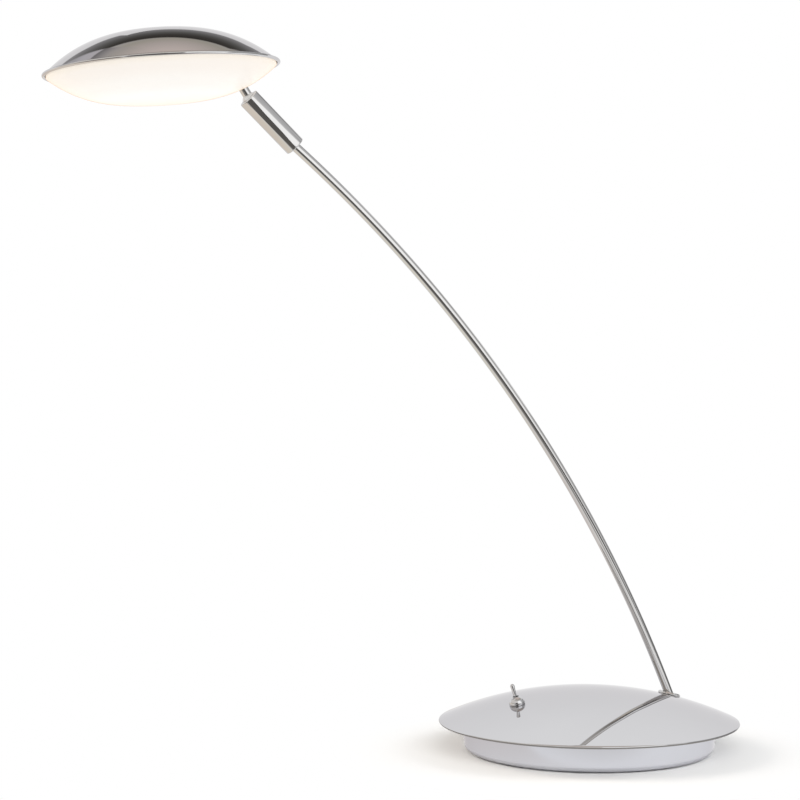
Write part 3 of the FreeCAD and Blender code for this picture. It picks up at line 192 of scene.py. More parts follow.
# %% Arcs
def arc(centre, radius, first, last, count):
    """Points on a circle, (centre + radius cos t, centre + radius sin t), for t from first to last in radians."""
    t = np.linspace(first, last, count)
    return np.stack([centre[0] + radius * np.cos(t), centre[1] + radius * np.sin(t)], 1)


print("a quarter of a circle:", arc((0, 0), 1.0, 0, math.pi / 2, 3).round(2).tolist())


# %% Soft corners
def soften(outline, radius, steps=6, turn_limit=14.0, closed=True):
    """Rounds the corners of an outline of (across, up) points that turn by more than the limit in degrees.

    A corner P with unit directions d and e to its neighbours becomes the arc between A = P + t d and
    C = P + t e, t = radius / tan(half angle), as the rational curve
    ((1-s)^2 A + 2 s (1-s) w P + s^2 C) / (the same weights), w = sin(half angle).
    """
    longest_share, support = 0.42, 1.12
    p = np.asarray(outline, float)
    before, after = np.roll(p, 1, 0) - p, np.roll(p, -1, 0) - p
    length_before, length_after = np.linalg.norm(before, axis=1), np.linalg.norm(after, axis=1)
    d, e = before / length_before[:, None], after / length_after[:, None]
    half = np.arccos(np.clip((d * e).sum(1), -1, 1)) / 2
    sharp = np.degrees(np.pi - 2 * half) > turn_limit
    if not closed:
        sharp[[0, -1]] = False
    tangent = radius / np.tan(np.clip(half, 0.05, 1.55))
    tangent = np.minimum(tangent, longest_share * np.minimum(length_before, length_after))
    tangent = np.where(sharp, tangent, 0.0)
    counts = np.where(sharp, steps + 3, 1)
    corner = np.repeat(np.arange(len(p)), counts)
    number = np.arange(len(corner)) - np.repeat(np.cumsum(counts) - counts, counts)
    s = np.where(sharp[corner], (number - 1) / steps, 0.5)
    inside = np.clip(s, 0, 1)[:, None]
    reach = (tangent[corner] * np.where((s < 0) | (s > 1), support, 1.0))[:, None]
    a, c, w = p[corner] + d[corner] * reach, p[corner] + e[corner] * reach, np.sin(half[corner])[:, None]
    share_a, share_p, share_c = (1 - inside) ** 2, 2 * inside * (1 - inside) * w, inside ** 2
    curve = (share_a * a + share_p * p[corner] + share_c * c) / (share_a + share_p + share_c)
    return np.where(sharp[corner][:, None], curve, p[corner])


square = soften([(0, 0), (10, 0), (10, 10), (0, 10)], 1.0)
print("a square with soft corners has", len(square), "points")

# %% [markdown]
# ## Pieces that ride on bodies
#
# Each new piece stands for a solid of the engineered lamp, takes the finish of a named slot and moves with one
# body. One helper does this for all pieces, so that nothing is forgotten, and measures each of them.

# %% A piece that rides on a body
pieces = []


def add_piece(name, mesh, body, slot, replaced=()):
    """Puts a mesh into the scene as a piece that rides on a body and stands for the named nodes."""
    piece = bpy.data.objects.new(name, mesh)
    bpy.context.scene.collection.objects.link(piece)
    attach(piece, body)
    if replaced:
        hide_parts(*replaced)
    pieces.append((piece, slot))
    corners = np.array([v.co for v in mesh.vertices])
    size = (corners.max(0) - corners.min(0)) / MILLIMETRE
    print(f"{name}: {len(mesh.polygons)} faces, {size[0]:.1f} x {size[1]:.1f} x {size[2]:.1f} mm")


print("helper: add_piece")

# %% [markdown]
# ## The base plate
#
# The real plate is pressed from thick sheet: a shallow dome whose cut edge is just rounded over and turned
# under. A flattened sphere object would come close, but its rings get coarse towards the rim, where a mirror
# shows it most. So the outline is the sphere's own arc, one point for each millimetre. The two holes, for the
# arm and the switch, are cut with a Boolean after the surface is made.

# %% The plate's outline
edge_reach = plate_radius - 0.8
# Over the rim, straight down the upright edge, and round under it to the sheet's inner face.
rim_points = [(plate_radius - 0.2, dome(edge_reach) - 0.35), (plate_radius, plate_lift + skirt - 0.55),
              (plate_radius - 0.45, plate_lift + 0.25), (plate_radius - 0.95, plate_lift),
              (plate_radius - plate_wall, plate_lift)]
top_reach = np.linspace(0, edge_reach, 110)
under_reach = np.linspace(plate_radius - plate_wall, 0, 100)
plate_outline = np.concatenate([
    np.stack([top_reach, dome(top_reach)], 1), rim_points,
    np.stack([under_reach, dome(under_reach, dome_radius - plate_wall)], 1),
])
print("plate outline points:", len(plate_outline))


# %% Holes through a piece
def drill(mesh, place, radius, low, high, segments=64):
    """Cuts a round hole along a frame's own Z, from low to high, and returns the mesh that is left."""
    tool_outline = np.array([(0, low), (radius, low), (radius, high), (0, high)], float)
    tool = bpy.data.objects.new("drill", turned("drill", tool_outline, place, segments, closed=False))
    work = bpy.data.objects.new("work", mesh)
    for item in (tool, work):
        bpy.context.scene.collection.objects.link(item)
    boolean = work.modifiers.new("hole", "BOOLEAN")
    boolean.operation, boolean.solver, boolean.object = "DIFFERENCE", "EXACT", tool
    bpy.context.view_layer.update()
    cut = bpy.data.meshes.new_from_object(work.evaluated_get(bpy.context.evaluated_depsgraph_get()))
    cut.name = mesh.name + "_drilled"
    for item in (tool, work):
        bpy.data.objects.remove(item)
    print(f"{cut.name}: {len(cut.polygons)} faces")
    return cut


print("helper: drill")

# %% The domed plate with its two holes
switch_at = Vector((switch_reach * math.cos(switch_turn), switch_reach * math.sin(switch_turn),
                    float(dome(switch_reach))))
switch_normal = (switch_at - Vector((0, 0, dome_middle))).normalized()  # away from the sphere's middle
lever_hinge = (Vector((1, 0, 0)) - switch_normal * switch_normal.x).normalized()
switch_axes = Matrix((lever_hinge, switch_normal.cross(lever_hinge), switch_normal)).transposed()
switch = Matrix.Translation(switch_at) @ switch_axes.to_4x4()
foot_hole, switch_hole = 3.3, 3.1
plate_mesh = turned("domed_plate", soften(plate_outline, 0.25, 6, closed=False), upright, 256, closed=False)
plate_mesh = drill(drill(plate_mesh, foot, foot_hole, -15, 15), switch, switch_hole, -8, 8)
add_piece("domed_plate", plate_mesh, "base", "plate_steel", ["base_plate"])

# %% [markdown]
# ## The drum
#
# Below the plate a plain drum carries the weight. Its wall flares a little towards the top and turns under at
# the table with a round corner, which catches a dark line of its own shadow. A cylinder with a Bevel would give
# the corner but not the flare, and a turned outline gives both and the wall's thickness too. At the back it
# has the round hole of the cord's inlet.

# %% The drum under the plate
drum_foot, drum_corner, drum_flare, drum_wall = 78.8, 4.4, 1.0, 1.2
drum_lift, drum_lip, drum_gap = 0.6, 9.3, 0.3  # over the table, its turned-in lip, and under the plate
drum_side = drum_foot + drum_corner
drum_top = float(dome(drum_side + drum_flare, dome_radius - plate_wall)) - drum_gap
corner_at = (drum_foot, drum_lift + drum_corner)
drum_outline = np.concatenate([
    [(drum_foot - drum_lip, drum_lift)],
    arc(corner_at, drum_corner, -np.pi / 2, 0, 12),
    [(drum_side + drum_flare * 0.5, (corner_at[1] + drum_top) / 2), (drum_side + drum_flare, drum_top)],
    [(drum_side + drum_flare - drum_wall, drum_top)],
    arc(corner_at, drum_corner - drum_wall, 0, -np.pi / 2, 10),
    [(drum_foot - drum_lip, drum_lift + drum_wall)],
])
drum_mesh = turned("drum", soften(drum_outline, 0.25, 5), upright, 256)
inlet_turn, inlet_height, inlet_hole = math.radians(68), 15, 4.9
inlet = (Matrix.Rotation(inlet_turn, 4, "Z") @ Matrix.Translation((drum_side, 0, inlet_height))
         @ Matrix.Rotation(math.pi / 2, 4, "Y"))
add_piece("drum", drill(drum_mesh, inlet, inlet_hole, -6, 6), "base", "drum_metal", ["base_drum"])

# %% [markdown]
# ## The collar at the arm's foot
#
# Where the tube enters the plate a low turned collar covers the hole. It sits square on the sloping dome,
# while the tube passes through it at a slant. A turned ring can't have a slanting hole, so the collar is made
# whole first and then drilled along the tube's own axis.

# %% The foot collar
foot_slope = math.asin(foot_reach / dome_radius)
collar_place = Matrix.Translation(foot_at) @ Matrix.Rotation(foot_slope, 4, "Y")
collar_radius, collar_bevel_radius, collar_side, collar_height = 7.6, 6.7, 0.7, 1.6
collar_outline = [(0, 0), (collar_radius, 0), (collar_radius, collar_side),
                  (collar_bevel_radius, collar_height), (0, collar_height)]
collar_mesh = turned("foot_collar", soften(collar_outline, 0.35, 6, closed=False), collar_place, 96, closed=False)
add_piece("foot_collar", drill(collar_mesh, foot, foot_hole, -12, 12), "base", "arm_chrome", ["foot_rosette"])

# %% [markdown]
# ## The toggle switch
#
# A small domed nut holds the switch to the plate and a bat-shaped lever stands out of its mouth. Both are
# lathe-turned, so both are outlines carried round the switch's axis, which stands square on the dome. The
# lever is its own body: it leans to one side of the axis and is thrown to the other.

# %% The switch nut
nut_radius, nut_mouth, nut_step, nut_thread = 5.2, 2.05, 2.7, 3.05
nut_seat, nut_collar, nut_shelf, nut_top = 0.02, 0.7, 3.6, 4.6
nut_outline = np.concatenate([
    [(nut_thread, nut_seat), (nut_radius, nut_seat)],
    arc((0, nut_collar), nut_radius, 0, math.acos(nut_mouth / nut_radius), 24),
    [(nut_mouth, nut_top), (nut_step, nut_top - 0.5), (nut_step, nut_shelf), (nut_thread, nut_shelf)],
])
nut_mesh = turned("switch_nut", soften(nut_outline, 0.2, 5), switch, 96)
add_piece("switch_nut", nut_mesh, "base", "switch_chrome", ["switch_dome_nut"])

# %% The switch lever
lever_hinge_height, lever_throw = 1.0, math.radians(-11)
lever_place = switch @ Matrix.Translation((0, 0, lever_hinge_height)) @ Matrix.Rotation(lever_throw, 4, "X")
tail_radius, waist_radius, swing_radius, tip_radius = 0.75, 0.95, 1.95, 1.45
tail_end, tip_end = -4.6, 12.8
swing_ball = arc((0, 0), swing_radius, -math.acos(tail_radius / swing_radius),
                 math.acos(waist_radius / swing_radius), 18)
lever_tip = arc((0, tip_end - tip_radius), tip_radius, 0, math.pi / 2, 12)
waist = [(waist_radius, 4.4), (1.1, 5.6)]  # straight out of the ball, then widening towards the tip
lever_outline = np.concatenate([
    [(0, tail_end), (tail_radius, tail_end)], swing_ball, waist, lever_tip[:-1], [(0, tip_end)],
])
lever_soft = soften(lever_outline, 0.3, 5, 25.0, closed=False)
lever_mesh = turned("switch_bat", lever_soft, lever_place, 64, closed=False)
add_piece("switch_bat", lever_mesh, "switch_lever", "switch_chrome", ["switch_lever"])

# %% [markdown]
# ## The arched tube
#
# The arm is drawn tube bent to one long arc. Its middle line runs straight up the foot's axis until the bend
# starts. A circle across that line gives the outer skin and a smaller one the bore, and both are closed into
# one wall at the two ends. A curve with a round bevel would look the same from afar, but here the line is
# exactly the engineered arm's.

# %% The tube along its bend
spigot, socket, tube_bore = 16.3, 9.0, 2.2
tube_end = arm_bend * arm_sweep + socket


def tube_line(s):
    """Middle points and sideways directions at path lengths s, in the foot's frame; the bend starts at s = 0.

    The turn is s / bend. The middle is (bend (cos turn - 1), 0, bend sin turn), and below the bend it runs
    straight down. Sideways is (cos turn, 0, sin turn).
    """
    turn, straight = np.clip(s, 0, None) / arm_bend, np.clip(s, None, 0)
    middle = np.stack([arm_bend * (np.cos(turn) - 1), 0 * s, arm_bend * np.sin(turn) + straight], -1)
    sideways = np.stack([np.cos(turn), 0 * s, np.sin(turn)], -1)
    return middle, sideways


near_end, at_end = 0.25, 0.001
skin_s = np.concatenate([[-spigot + at_end, -spigot + near_end], np.linspace(-spigot, -1, 8)[1:],
                         np.linspace(0, tube_end, 240)[:-1], [tube_end - near_end, tube_end - at_end]])
skin_r = np.full(len(skin_s), tube_radius)
skin_r[[0, -1]] -= tube_break
wall_s = np.concatenate([skin_s, skin_s[::-1]])
wall_r = np.concatenate([skin_r, np.full(len(skin_s), tube_bore)])[None, :, None]
middle, sideways = tube_line(wall_s)
around = np.linspace(0, 2 * np.pi, 72, endpoint=False)[:, None, None]
tube_own = middle[None] + wall_r * (np.cos(around) * sideways[None] + np.sin(around) * np.array([0, 1, 0]))
tube_mesh = grid_mesh("arched_tube", placed(tube_own, foot), True, True)
add_piece("arched_tube", tube_mesh, "arm", "arm_chrome", ["arm_tube"])

# %% [markdown]
# ## The sleeve and its ball joint
#
# The tube ends in a thicker sleeve, turned from bar with a small round bevel at each end. Its upper mouth
# narrows over the ball of the stud, so the ball can turn but not come out. The stud is hollow for the wire.
# The real pieces are made on a lathe, and an outline carried round an axis is a lathe in numbers.

# %% The sleeve
sleeve_bore, sleeve_radius, sleeve_bevel = 5.25, 6.7, 0.9
ball_up = knuckle_length - ball_recess
bevel_reach = sleeve_radius - sleeve_bevel
lip_angle = math.asin(ball_recess / sleeve_bore)
sleeve_outline = np.concatenate([
    [(sleeve_bore, 0)],
    arc((bevel_reach, sleeve_bevel), sleeve_bevel, -np.pi / 2, 0, 8),
    [(sleeve_radius, 14), (sleeve_radius, 28)],  # two rings that keep the long side straight
    arc((bevel_reach, knuckle_length - sleeve_bevel), sleeve_bevel, 0, np.pi / 2, 8),
    arc((0, ball_up), sleeve_bore, lip_angle, 0, 10),
    [(sleeve_bore, 20)],
])
sleeve_mesh = turned("sleeve", soften(sleeve_outline, 0.15, 5, 20.0), knuckle, 128)
add_piece("sleeve", sleeve_mesh, "arm", "knuckle_chrome", ["knuckle_sleeve"])

# %% The ball and its stud
stud_radius, stud_bore = 3.0, 1.5
block_top, stud_sunk = 12.2, 2.9  # the block that holds the stud in the head, and the stud's end below its top
stud_end = (block_top + stud_drop) / math.cos(stud_lean) - stud_sunk
ball_arc = arc((0, 0), ball_radius, -math.acos(stud_bore / ball_radius), math.acos(stud_radius / ball_radius), 40)
stud_outline = np.concatenate([ball_arc, [(stud_radius, stud_end), (stud_bore, stud_end)]])
stud_mesh = turned("ball_and_stud", soften(stud_outline, 0.2, 5, 20.0), stud, 96)
add_piece("ball_and_stud", stud_mesh, "head", "knuckle_chrome", ["ball_stud"])


# %% [markdown]
# ## The head: a dish over a bowl
#
# The upper shell is spun from sheet: a nearly flat crown that runs smoothly into a tighter shoulder, with a
# rolled bead at the rim. A flattened sphere would be too pointed at the rim, and a curve drawn by eye shows
# its bumps in a mirror. So both parts of its outline are arcs, and the shoulder's radius is the one that leaves
# the crown without a kink and still meets the rim. The diffuser below is the same kind of curve, shallower.

# %% Crown and shoulder
def crowned(rim, depth, crown, crown_angle, inset, count=60):
    """Outline of a dome from its axis to its rim: an arc of the crown's radius, then a shoulder arc tangent to it.

    With the crown's middle c below the top, e the direction where the crown ends and v the rim seen from c,
    the shoulder's radius is (v.v - 2 R (v.e) + R R) / (2 R - 2 (v.e)). An inner face has both radii less by
    the inset.
    """
    e = np.array([math.sin(crown_angle), math.cos(crown_angle)])
    v = np.array([rim, crown - depth])
    shoulder = (v @ v - 2 * crown * (v @ e) + crown ** 2) / (2 * crown - 2 * (v @ e))
    low = np.array([0, depth - crown])
    centre = low + (crown - shoulder) * e
    t = np.linspace(0, crown_angle, count // 3)
    crown_part = low + (crown - inset) * np.stack([np.sin(t), np.cos(t)], 1)
    reach = shoulder - inset
    last = math.pi / 2 - math.asin(np.clip(-centre[1] / reach, -1, 1))
    t = np.linspace(crown_angle, last, count)[1:]
    return np.concatenate([crown_part, centre + reach * np.stack([np.sin(t), np.cos(t)], 1)])


dish_rim, dish_depth, dish_wall = head_radius - bead_radius, 24.0, 0.8
dish_crown, dish_crown_angle = 200.0, math.radians(7.2)
dish_top, dish_under = (crowned(dish_rim, dish_depth, dish_crown, dish_crown_angle, inset)
                        for inset in (0.0, dish_wall))
print(f"dish: rim {dish_top[-1][0]:.2f}, height {dish_top[0][1]:.2f} mm")

# %% The dish with its rolled bead
slope_at_rim = dish_top[-1] - dish_top[-2]
bead_start = math.atan2(slope_at_rim[0], -slope_at_rim[1])
bead_roll = math.radians(290)
bead = arc((dish_rim, 0), bead_radius, bead_start, bead_start - bead_roll, 26)
dish_outline = np.concatenate([dish_top[:-2], bead, dish_under[:-3][::-1]])
dish_mesh = turned("dish", soften(dish_outline, 0.15, 4, 24.0, closed=False), head, 256, closed=False)
add_piece("dish", dish_mesh, "head", "dish_metal", ["head_dish"])

# %% The opal bowl with the stud's hole
bowl_play, bowl_drop, stud_hole = 0.3, 1.6, 3.4
bowl_rim, bowl_depth, bowl_wall, bowl_lip = head_radius - 2 * bead_radius - bowl_play, 17.9, 2.4, -1.1
bowl_crown, bowl_crown_angle = 600.0, math.radians(2.5)
turned_over = head @ Matrix.Translation((0, 0, -bowl_drop)) @ Matrix.Rotation(math.pi, 4, "X")
bowl_out, bowl_in = (crowned(bowl_rim, bowl_depth, bowl_crown, bowl_crown_angle, inset, 72)
                     for inset in (0.0, bowl_wall))
lip_points = [(bowl_rim, bowl_lip), (bowl_in[-1][0] + 0.3, bowl_lip)]
bowl_outline = np.concatenate([bowl_out, lip_points, bowl_in[::-1]])
bowl_soft = soften(bowl_outline, 0.3, 5, 20.0, closed=False)
bowl_mesh = turned("opal_bowl", bowl_soft, turned_over, 256, closed=False)
add_piece("opal_bowl", drill(bowl_mesh, stud, stud_hole, 2, 30), "head", "diffuser_opal", ["diffuser"])


# %% [markdown]
# ## Helpers for nodes
#
# Materials and the room are both made of nodes. Typed out, each node takes a line for every socket. So one
# helper adds a node, sets its options and fills or links its inputs, and a few short ones build on it: a noise,
# a colour ramp, a step of arithmetic and a mix of two colours.

# %% Adding and feeding nodes
def open_nodes(owner, clear=False):
    """Switches on the nodes of a material or world and makes them the ones that the helpers add to."""
    global nodes, links
    owner.use_nodes = True
    nodes, links = owner.node_tree.nodes, owner.node_tree.links
    if clear:
        nodes.clear()


def feed(item, inputs):
    """Gives each input of a node, by name or number, a link from a socket, or else a number or a colour."""
    for key, value in inputs.items():
        socket = item.inputs[key]
        if isinstance(value, bpy.types.NodeSocket):
            links.new(value, socket)
        else:
            socket.default_value = (*value, 1) if socket.type == "RGBA" else value
    return item


def node(kind, inputs=None, **options):
    """Adds a node of a kind to the open tree, with its options set and its inputs fed."""
    item = nodes.new("ShaderNode" + kind)
    for key, value in options.items():
        setattr(item, key, value)
    return feed(item, inputs or {})


print("helpers: open_nodes, feed, node")


# %% Noises, ramps, arithmetic and mixes
def noise(vector, scale, detail=2):
    """A noise over a vector, from 0 to 1."""
    return node("TexNoise", {"Vector": vector, "Scale": scale, "Detail": detail}).outputs["Fac"]


def ramp(value, stops, interpolation="LINEAR"):
    """A colour ramp over (position, colour) stops, with positions from 0 to 1."""
    item = node("ValToRGB", {"Fac": value})
    item.color_ramp.interpolation = interpolation
    steps = item.color_ramp.elements
    for step, (at, colour) in zip(steps, (stops[0], stops[-1])):
        step.position, step.color = at, (*colour, 1)
    for at, colour in stops[1:-1]:
        steps.new(at).color = (*colour, 1)
    return item.outputs["Color"]


def calculate(operation, *values):
    """One step of arithmetic between sockets or numbers."""
    return node("Math", dict(enumerate(values)), operation=operation).outputs["Value"]


def paint(under, over, mask):
    """The over colour where the mask is 1, the under colour where it is 0."""
    return node("Mix", {0: mask, 6: under, 7: over}, data_type="RGBA").outputs[2]


print("helpers: noise, ramp, calculate, paint")


# %% [markdown]
# ## Finishes
#
# Polished chrome is nearly a perfect mirror, but has hairline polishing marks and faint hazy patches where it
# was touched. A picture of scratches would repeat and need unwrapping. Noise on Object coordinates never
# repeats and stays in place when a piece moves, so it drives the roughness and a very small bump. The plate's
# sheet sways a little, and its cut edge and underside are satin. Their colour is a darker grey of painted shade:
# the shadowed table that they would mirror. Hidden parts get the finishes of their trades, such as cast iron,
# moulded plastic, zinc-plated screws, brass and rubber.

# %% One recipe for all finishes
# The satin grey below is painted shade for the plate's lower edge and underside. The satin roughness is the real
# finish.
METAL_EDGE, SATIN_SHADE_GREY, SATIN_ROUGHNESS = (0.80, 0.79, 0.80), (0.24, 0.23, 0.22), 0.35
GRAIN_DEPTH, SATIN_BLEND, WAVE_SCALE = 0.0002, 0.0003, 22


def finish(name, colour, metallic, roughness, haze, haze_scale, grain, grain_scale, tint,
           stretch=(1, 1, 1), ripple=0.0, satin_and_shade_below=None):
    """A Principled material whose roughness, colour and bump vary with noises on Object coordinates.

    Roughness runs from roughness - haze to roughness + haze with a slow noise, and the colour is scaled by
    1 - tint to 1 + tint. The bump is grain x fine noise, and ripple x a very slow noise for sheet that isn't
    quite even. Below the last argument's height, in metres, the metal is satin, and its colour is a darker grey
    of painted shade.
    """
    material = bpy.data.materials.new(name)
    open_nodes(material)
    place = node("TexCoord").outputs["Object"]
    stretched = node("Mapping", {"Vector": place, "Scale": stretch}).outputs["Vector"]
    slow, fine = noise(place, haze_scale, 4), noise(stretched, grain_scale, 5)
    rough = node("MapRange", {"Value": slow, "From Min": 0.3, "From Max": 0.7, "To Max": roughness + haze,
                              "To Min": max(roughness - haze, 0.01)}).outputs["Result"]
    colours = ramp(slow, [(0.35, [c * (1 - tint) for c in colour]), (0.65, [min(c * (1 + tint), 1) for c in colour])])
    bump = {"Strength": grain, "Distance": GRAIN_DEPTH, "Height": fine}
    if ripple:
        waves = {"Strength": 1, "Distance": ripple, "Height": noise(place, WAVE_SCALE, 1)}
        bump["Normal"] = node("Bump", waves).outputs["Normal"]
    # Below this height the colour turns to painted shade: the dark that the plate's edge and underside would mirror
    # from the shadowed table.
    if satin_and_shade_below is not None:
        height = node("SeparateXYZ", {"Vector": place}).outputs["Z"]
        polished = node("MapRange", {"Value": height, "From Min": satin_and_shade_below,
                                     "From Max": satin_and_shade_below + SATIN_BLEND}).outputs["Result"]
        colours = paint(SATIN_SHADE_GREY, colours, polished)
        rough = node("Mix", {0: polished, 2: SATIN_ROUGHNESS, 3: rough}).outputs[0]
    shader = next(n for n in nodes if n.type == "BSDF_PRINCIPLED")
    feed(shader, {"Metallic": metallic, "Base Color": colours, "Roughness": rough,
                  "Normal": node("Bump", bump).outputs["Normal"]})
    if metallic == 1:
        feed(shader, {"Specular Tint": METAL_EDGE})
    return material


print("recipe: finish")

# %% The finishes by slot
# Each row is: name, colour, metallic, roughness, haze, haze scale, grain, grain scale, tint.
finish_rows = {
    "plate_steel": ("polished_plate", (0.66, 0.66, 0.675), 1, 0.016, 0.006, 14, 0.003, 500, 0.01),
    "drum_metal": ("polished_drum", (0.635, 0.64, 0.68), 1, 0.10, 0.03, 22, 0.01, 300, 0.015),
    "arm_chrome": ("tube_chrome", (0.65, 0.645, 0.64), 1, 0.05, 0.015, 40, 0.005, 700, 0.015),
    "knuckle_chrome": ("sleeve_chrome", (0.65, 0.645, 0.64), 1, 0.05, 0.015, 60, 0.004, 800, 0.02),
    "switch_chrome": ("switch_chrome", (0.65, 0.65, 0.66), 1, 0.05, 0.02, 90, 0.004, 900, 0.02),
    "dish_metal": ("dish_chrome", (0.645, 0.64, 0.645), 1, 0.04, 0.012, 20, 0.003, 600, 0.012),
    "ballast_iron": ("cast_iron", (0.10, 0.10, 0.105), 0.7, 0.62, 0.12, 120, 0.7, 700, 0.25),
    "pad_rubber": ("pad_rubber", (0.03, 0.03, 0.03), 0, 0.85, 0.06, 80, 0.5, 900, 0.2),
    "screw_steel": ("zinc_plate", (0.58, 0.58, 0.60), 1, 0.30, 0.08, 150, 0.15, 1500, 0.1),
    "driver_plastic": ("white_case", (0.72, 0.72, 0.70), 0, 0.5, 0.06, 60, 0.35, 1800, 0.03),
    "terminal_plastic": ("terminal_plastic", (0.74, 0.70, 0.58), 0, 0.42, 0.05, 90, 0.2, 1600, 0.04),
    "terminal_brass": ("brass", (0.72, 0.55, 0.26), 1, 0.26, 0.08, 140, 0.12, 1200, 0.1),
    "inlet_rubber": ("inlet_rubber", (0.035, 0.035, 0.036), 0, 0.7, 0.08, 120, 0.3, 1500, 0.15),
    "switch_plastic": ("switch_case", (0.045, 0.045, 0.05), 0, 0.45, 0.06, 120, 0.25, 1600, 0.15),
    "wire_cover": ("wire_cover", (0.55, 0.55, 0.53), 0, 0.45, 0.05, 120, 0.1, 1500, 0.06),
    "seat_nylon": ("seat_nylon", (0.75, 0.75, 0.71), 0, 0.4, 0.05, 150, 0.1, 1500, 0.04),
    "spring_steel": ("spring_steel", (0.34, 0.34, 0.35), 1, 0.34, 0.08, 150, 0.1, 1500, 0.12),
    "seal_silicone": ("seal_silicone", (0.66, 0.66, 0.63), 0, 0.6, 0.06, 60, 0.1, 1200, 0.04),
    "sink_aluminium": ("mill_aluminium", (0.62, 0.62, 0.63), 1, 0.36, 0.08, 50, 0.2, 500, 0.06),
    "board_white": ("board_mask", (0.78, 0.78, 0.76), 0, 0.35, 0.05, 80, 0.05, 1500, 0.03),
    "chip_yellow": ("phosphor", (0.86, 0.68, 0.22), 0, 0.4, 0.05, 400, 0.2, 2500, 0.08),
}
finish_extras = {
    "plate_steel": {"ripple": 0.0002, "satin_and_shade_below": 0.0198}, "drum_metal": {"stretch": (0.15, 0.15, 6)},
    "arm_chrome": {"stretch": (1, 1, 0.08)}, "sink_aluminium": {"stretch": (12, 1, 1)},
}
finishes = {slot: finish(*row, **finish_extras.get(slot, {})) for slot, row in finish_rows.items()}
print("finishes:", len(finishes))

# %% [markdown]
# ## The glowing bowl
#
# The diffuser is opal plastic lit from inside. Its middle is brightest, and towards the rim, where less light
# reaches it, it turns cream. Lamps behind a milky wall would give the same, with much noise and a slow
# render, so the wall itself glows. The distance from the head's axis picks the colour, and the Mapping node
# moves the head's frame to the origin first. Where we see the wall edge on, it is creamier still: a clear coat
# with the index of air adds no gloss, and the flatter the light comes out, the more its tint takes from it.

# %% The opal finish
opal = bpy.data.materials.new("lit_opal")
open_nodes(opal)
place = node("TexCoord").outputs["Object"]
in_head = node("Mapping", {
    "Vector": place, "Location": head.translation * MILLIMETRE, "Rotation": (0, -head_lean, 0),
    "Scale": (head_radius * MILLIMETRE,) * 3}, vector_type="TEXTURE").outputs["Vector"]
flat = node("VectorMath", {0: in_head, 1: (1, 1, 0)}, operation="MULTIPLY").outputs["Vector"]
from_axis = node("VectorMath", {0: flat}, operation="LENGTH").outputs["Value"]
mottle_scale, mottle_amount = 45, 0.03
glow = ramp(calculate("MULTIPLY_ADD", noise(place, mottle_scale), mottle_amount, from_axis), [
    (0.45, (0.86, 0.87, 0.88)), (0.72, (0.85, 0.84, 0.82)), (0.92, (0.825, 0.785, 0.745)), (1.0, (0.80, 0.74, 0.66))],
    "EASE")
feed(next(n for n in nodes if n.type == "BSDF_PRINCIPLED"), {
    "Base Color": (0.17, 0.17, 0.165), "Roughness": 0.28, "Specular IOR Level": 0.05,
    "Coat Weight": 1.0, "Coat IOR": 1.0, "Coat Tint": (0.9915, 0.982, 0.973),
    "Emission Color": glow, "Emission Strength": 1.0})
finishes["diffuser_opal"] = opal
print("lit opal ready")


# %% [markdown]
# ## Dressing the lamp
#
# The record of the engineered lamp names a slot for each of its nodes, and each new piece named its own when it
# was added. So nothing is picked by hand, and a loop gives every object the finish of its slot.

# %% Put every finish on its pieces
def dress(item, slot):
    """Gives an object the finish of a slot and no other."""
    item.data.materials.clear()
    item.data.materials.append(finishes[slot])


slot_of = {part["node"]: part["material_slot"] for part in frame["record"]["subparts"]}
for name, item in frame["nodes"].items():
    dress(item, slot_of[name])
for piece, slot in pieces:
    dress(piece, slot)
    faces = piece.data.polygons
    faces.foreach_set("material_index", np.zeros(len(faces), np.int32))
print("dressed:", len(frame["nodes"]), "nodes and", len(pieces), "pieces")

# %% [markdown]
# ## The studio
#
# A mirror shows the room, so the room is designed like a product photographer's. A picture of a real room
# could be wrapped round the lamp, but a room that is painted on the world by direction can be shaped until
# each stripe and crescent sits where the real lamp has it. Two angles name a direction: the bearing, which is
# 0 away from the camera and 90 to the right, and the elevation, which is 0 at the horizon.

# %% Directions in the room
world = bpy.data.worlds.new("studio")
bpy.context.scene.world = world
open_nodes(world, clear=True)
direction = node("TexCoord").outputs["Generated"]
squared = node("Mapping", {"Vector": direction, "Rotation": (0, 0, view_turn)}, vector_type="VECTOR")
x, y, z = node("SeparateXYZ", {"Vector": squared.outputs["Vector"]}).outputs
bearing = calculate("DEGREES", calculate("ARCTAN2", x, y))
elevation = calculate("DEGREES", calculate("ARCSINE", z))
off_axis = calculate("ABSOLUTE", bearing)
print("directions:", len(nodes), "nodes")


# %% [markdown]
# ## Patches of colour
#
# The room is built up like a painting, one patch over the other. Each patch has colours that go by the
# elevation, shown through a mask that is 1 inside the patch and 0 outside. The masks come from soft steps,
# because a step without any softness would draw jagged lines on the chrome.

# %% Masks
def edge(value, at, soft):
    """0 below the place, 1 above it, with a smooth step of twice the soft width between them."""
    return node("MapRange", {"Value": value, "From Min": at - soft, "From Max": at + soft},
                interpolation_type="SMOOTHSTEP").outputs["Result"]


def below(value, at, soft):
    """1 below the place, 0 above it: the edge of the value and the place with their signs changed."""
    return edge(calculate("MULTIPLY", value, -1), -at, soft)


def band(value, low, high, soft, soft_high=None):
    """1 between the two places and 0 outside them: edge(low) - edge(high)."""
    return calculate("SUBTRACT", edge(value, low, soft), edge(value, high, soft_high or soft))


def both(first, second):
    """Where two masks overlap: their product."""
    return calculate("MULTIPLY", first, second)


def either(first, second):
    """Where at least one of two masks is: the greater of them."""
    return calculate("MAXIMUM", first, second)


print("masks: edge, below, band, both, either")


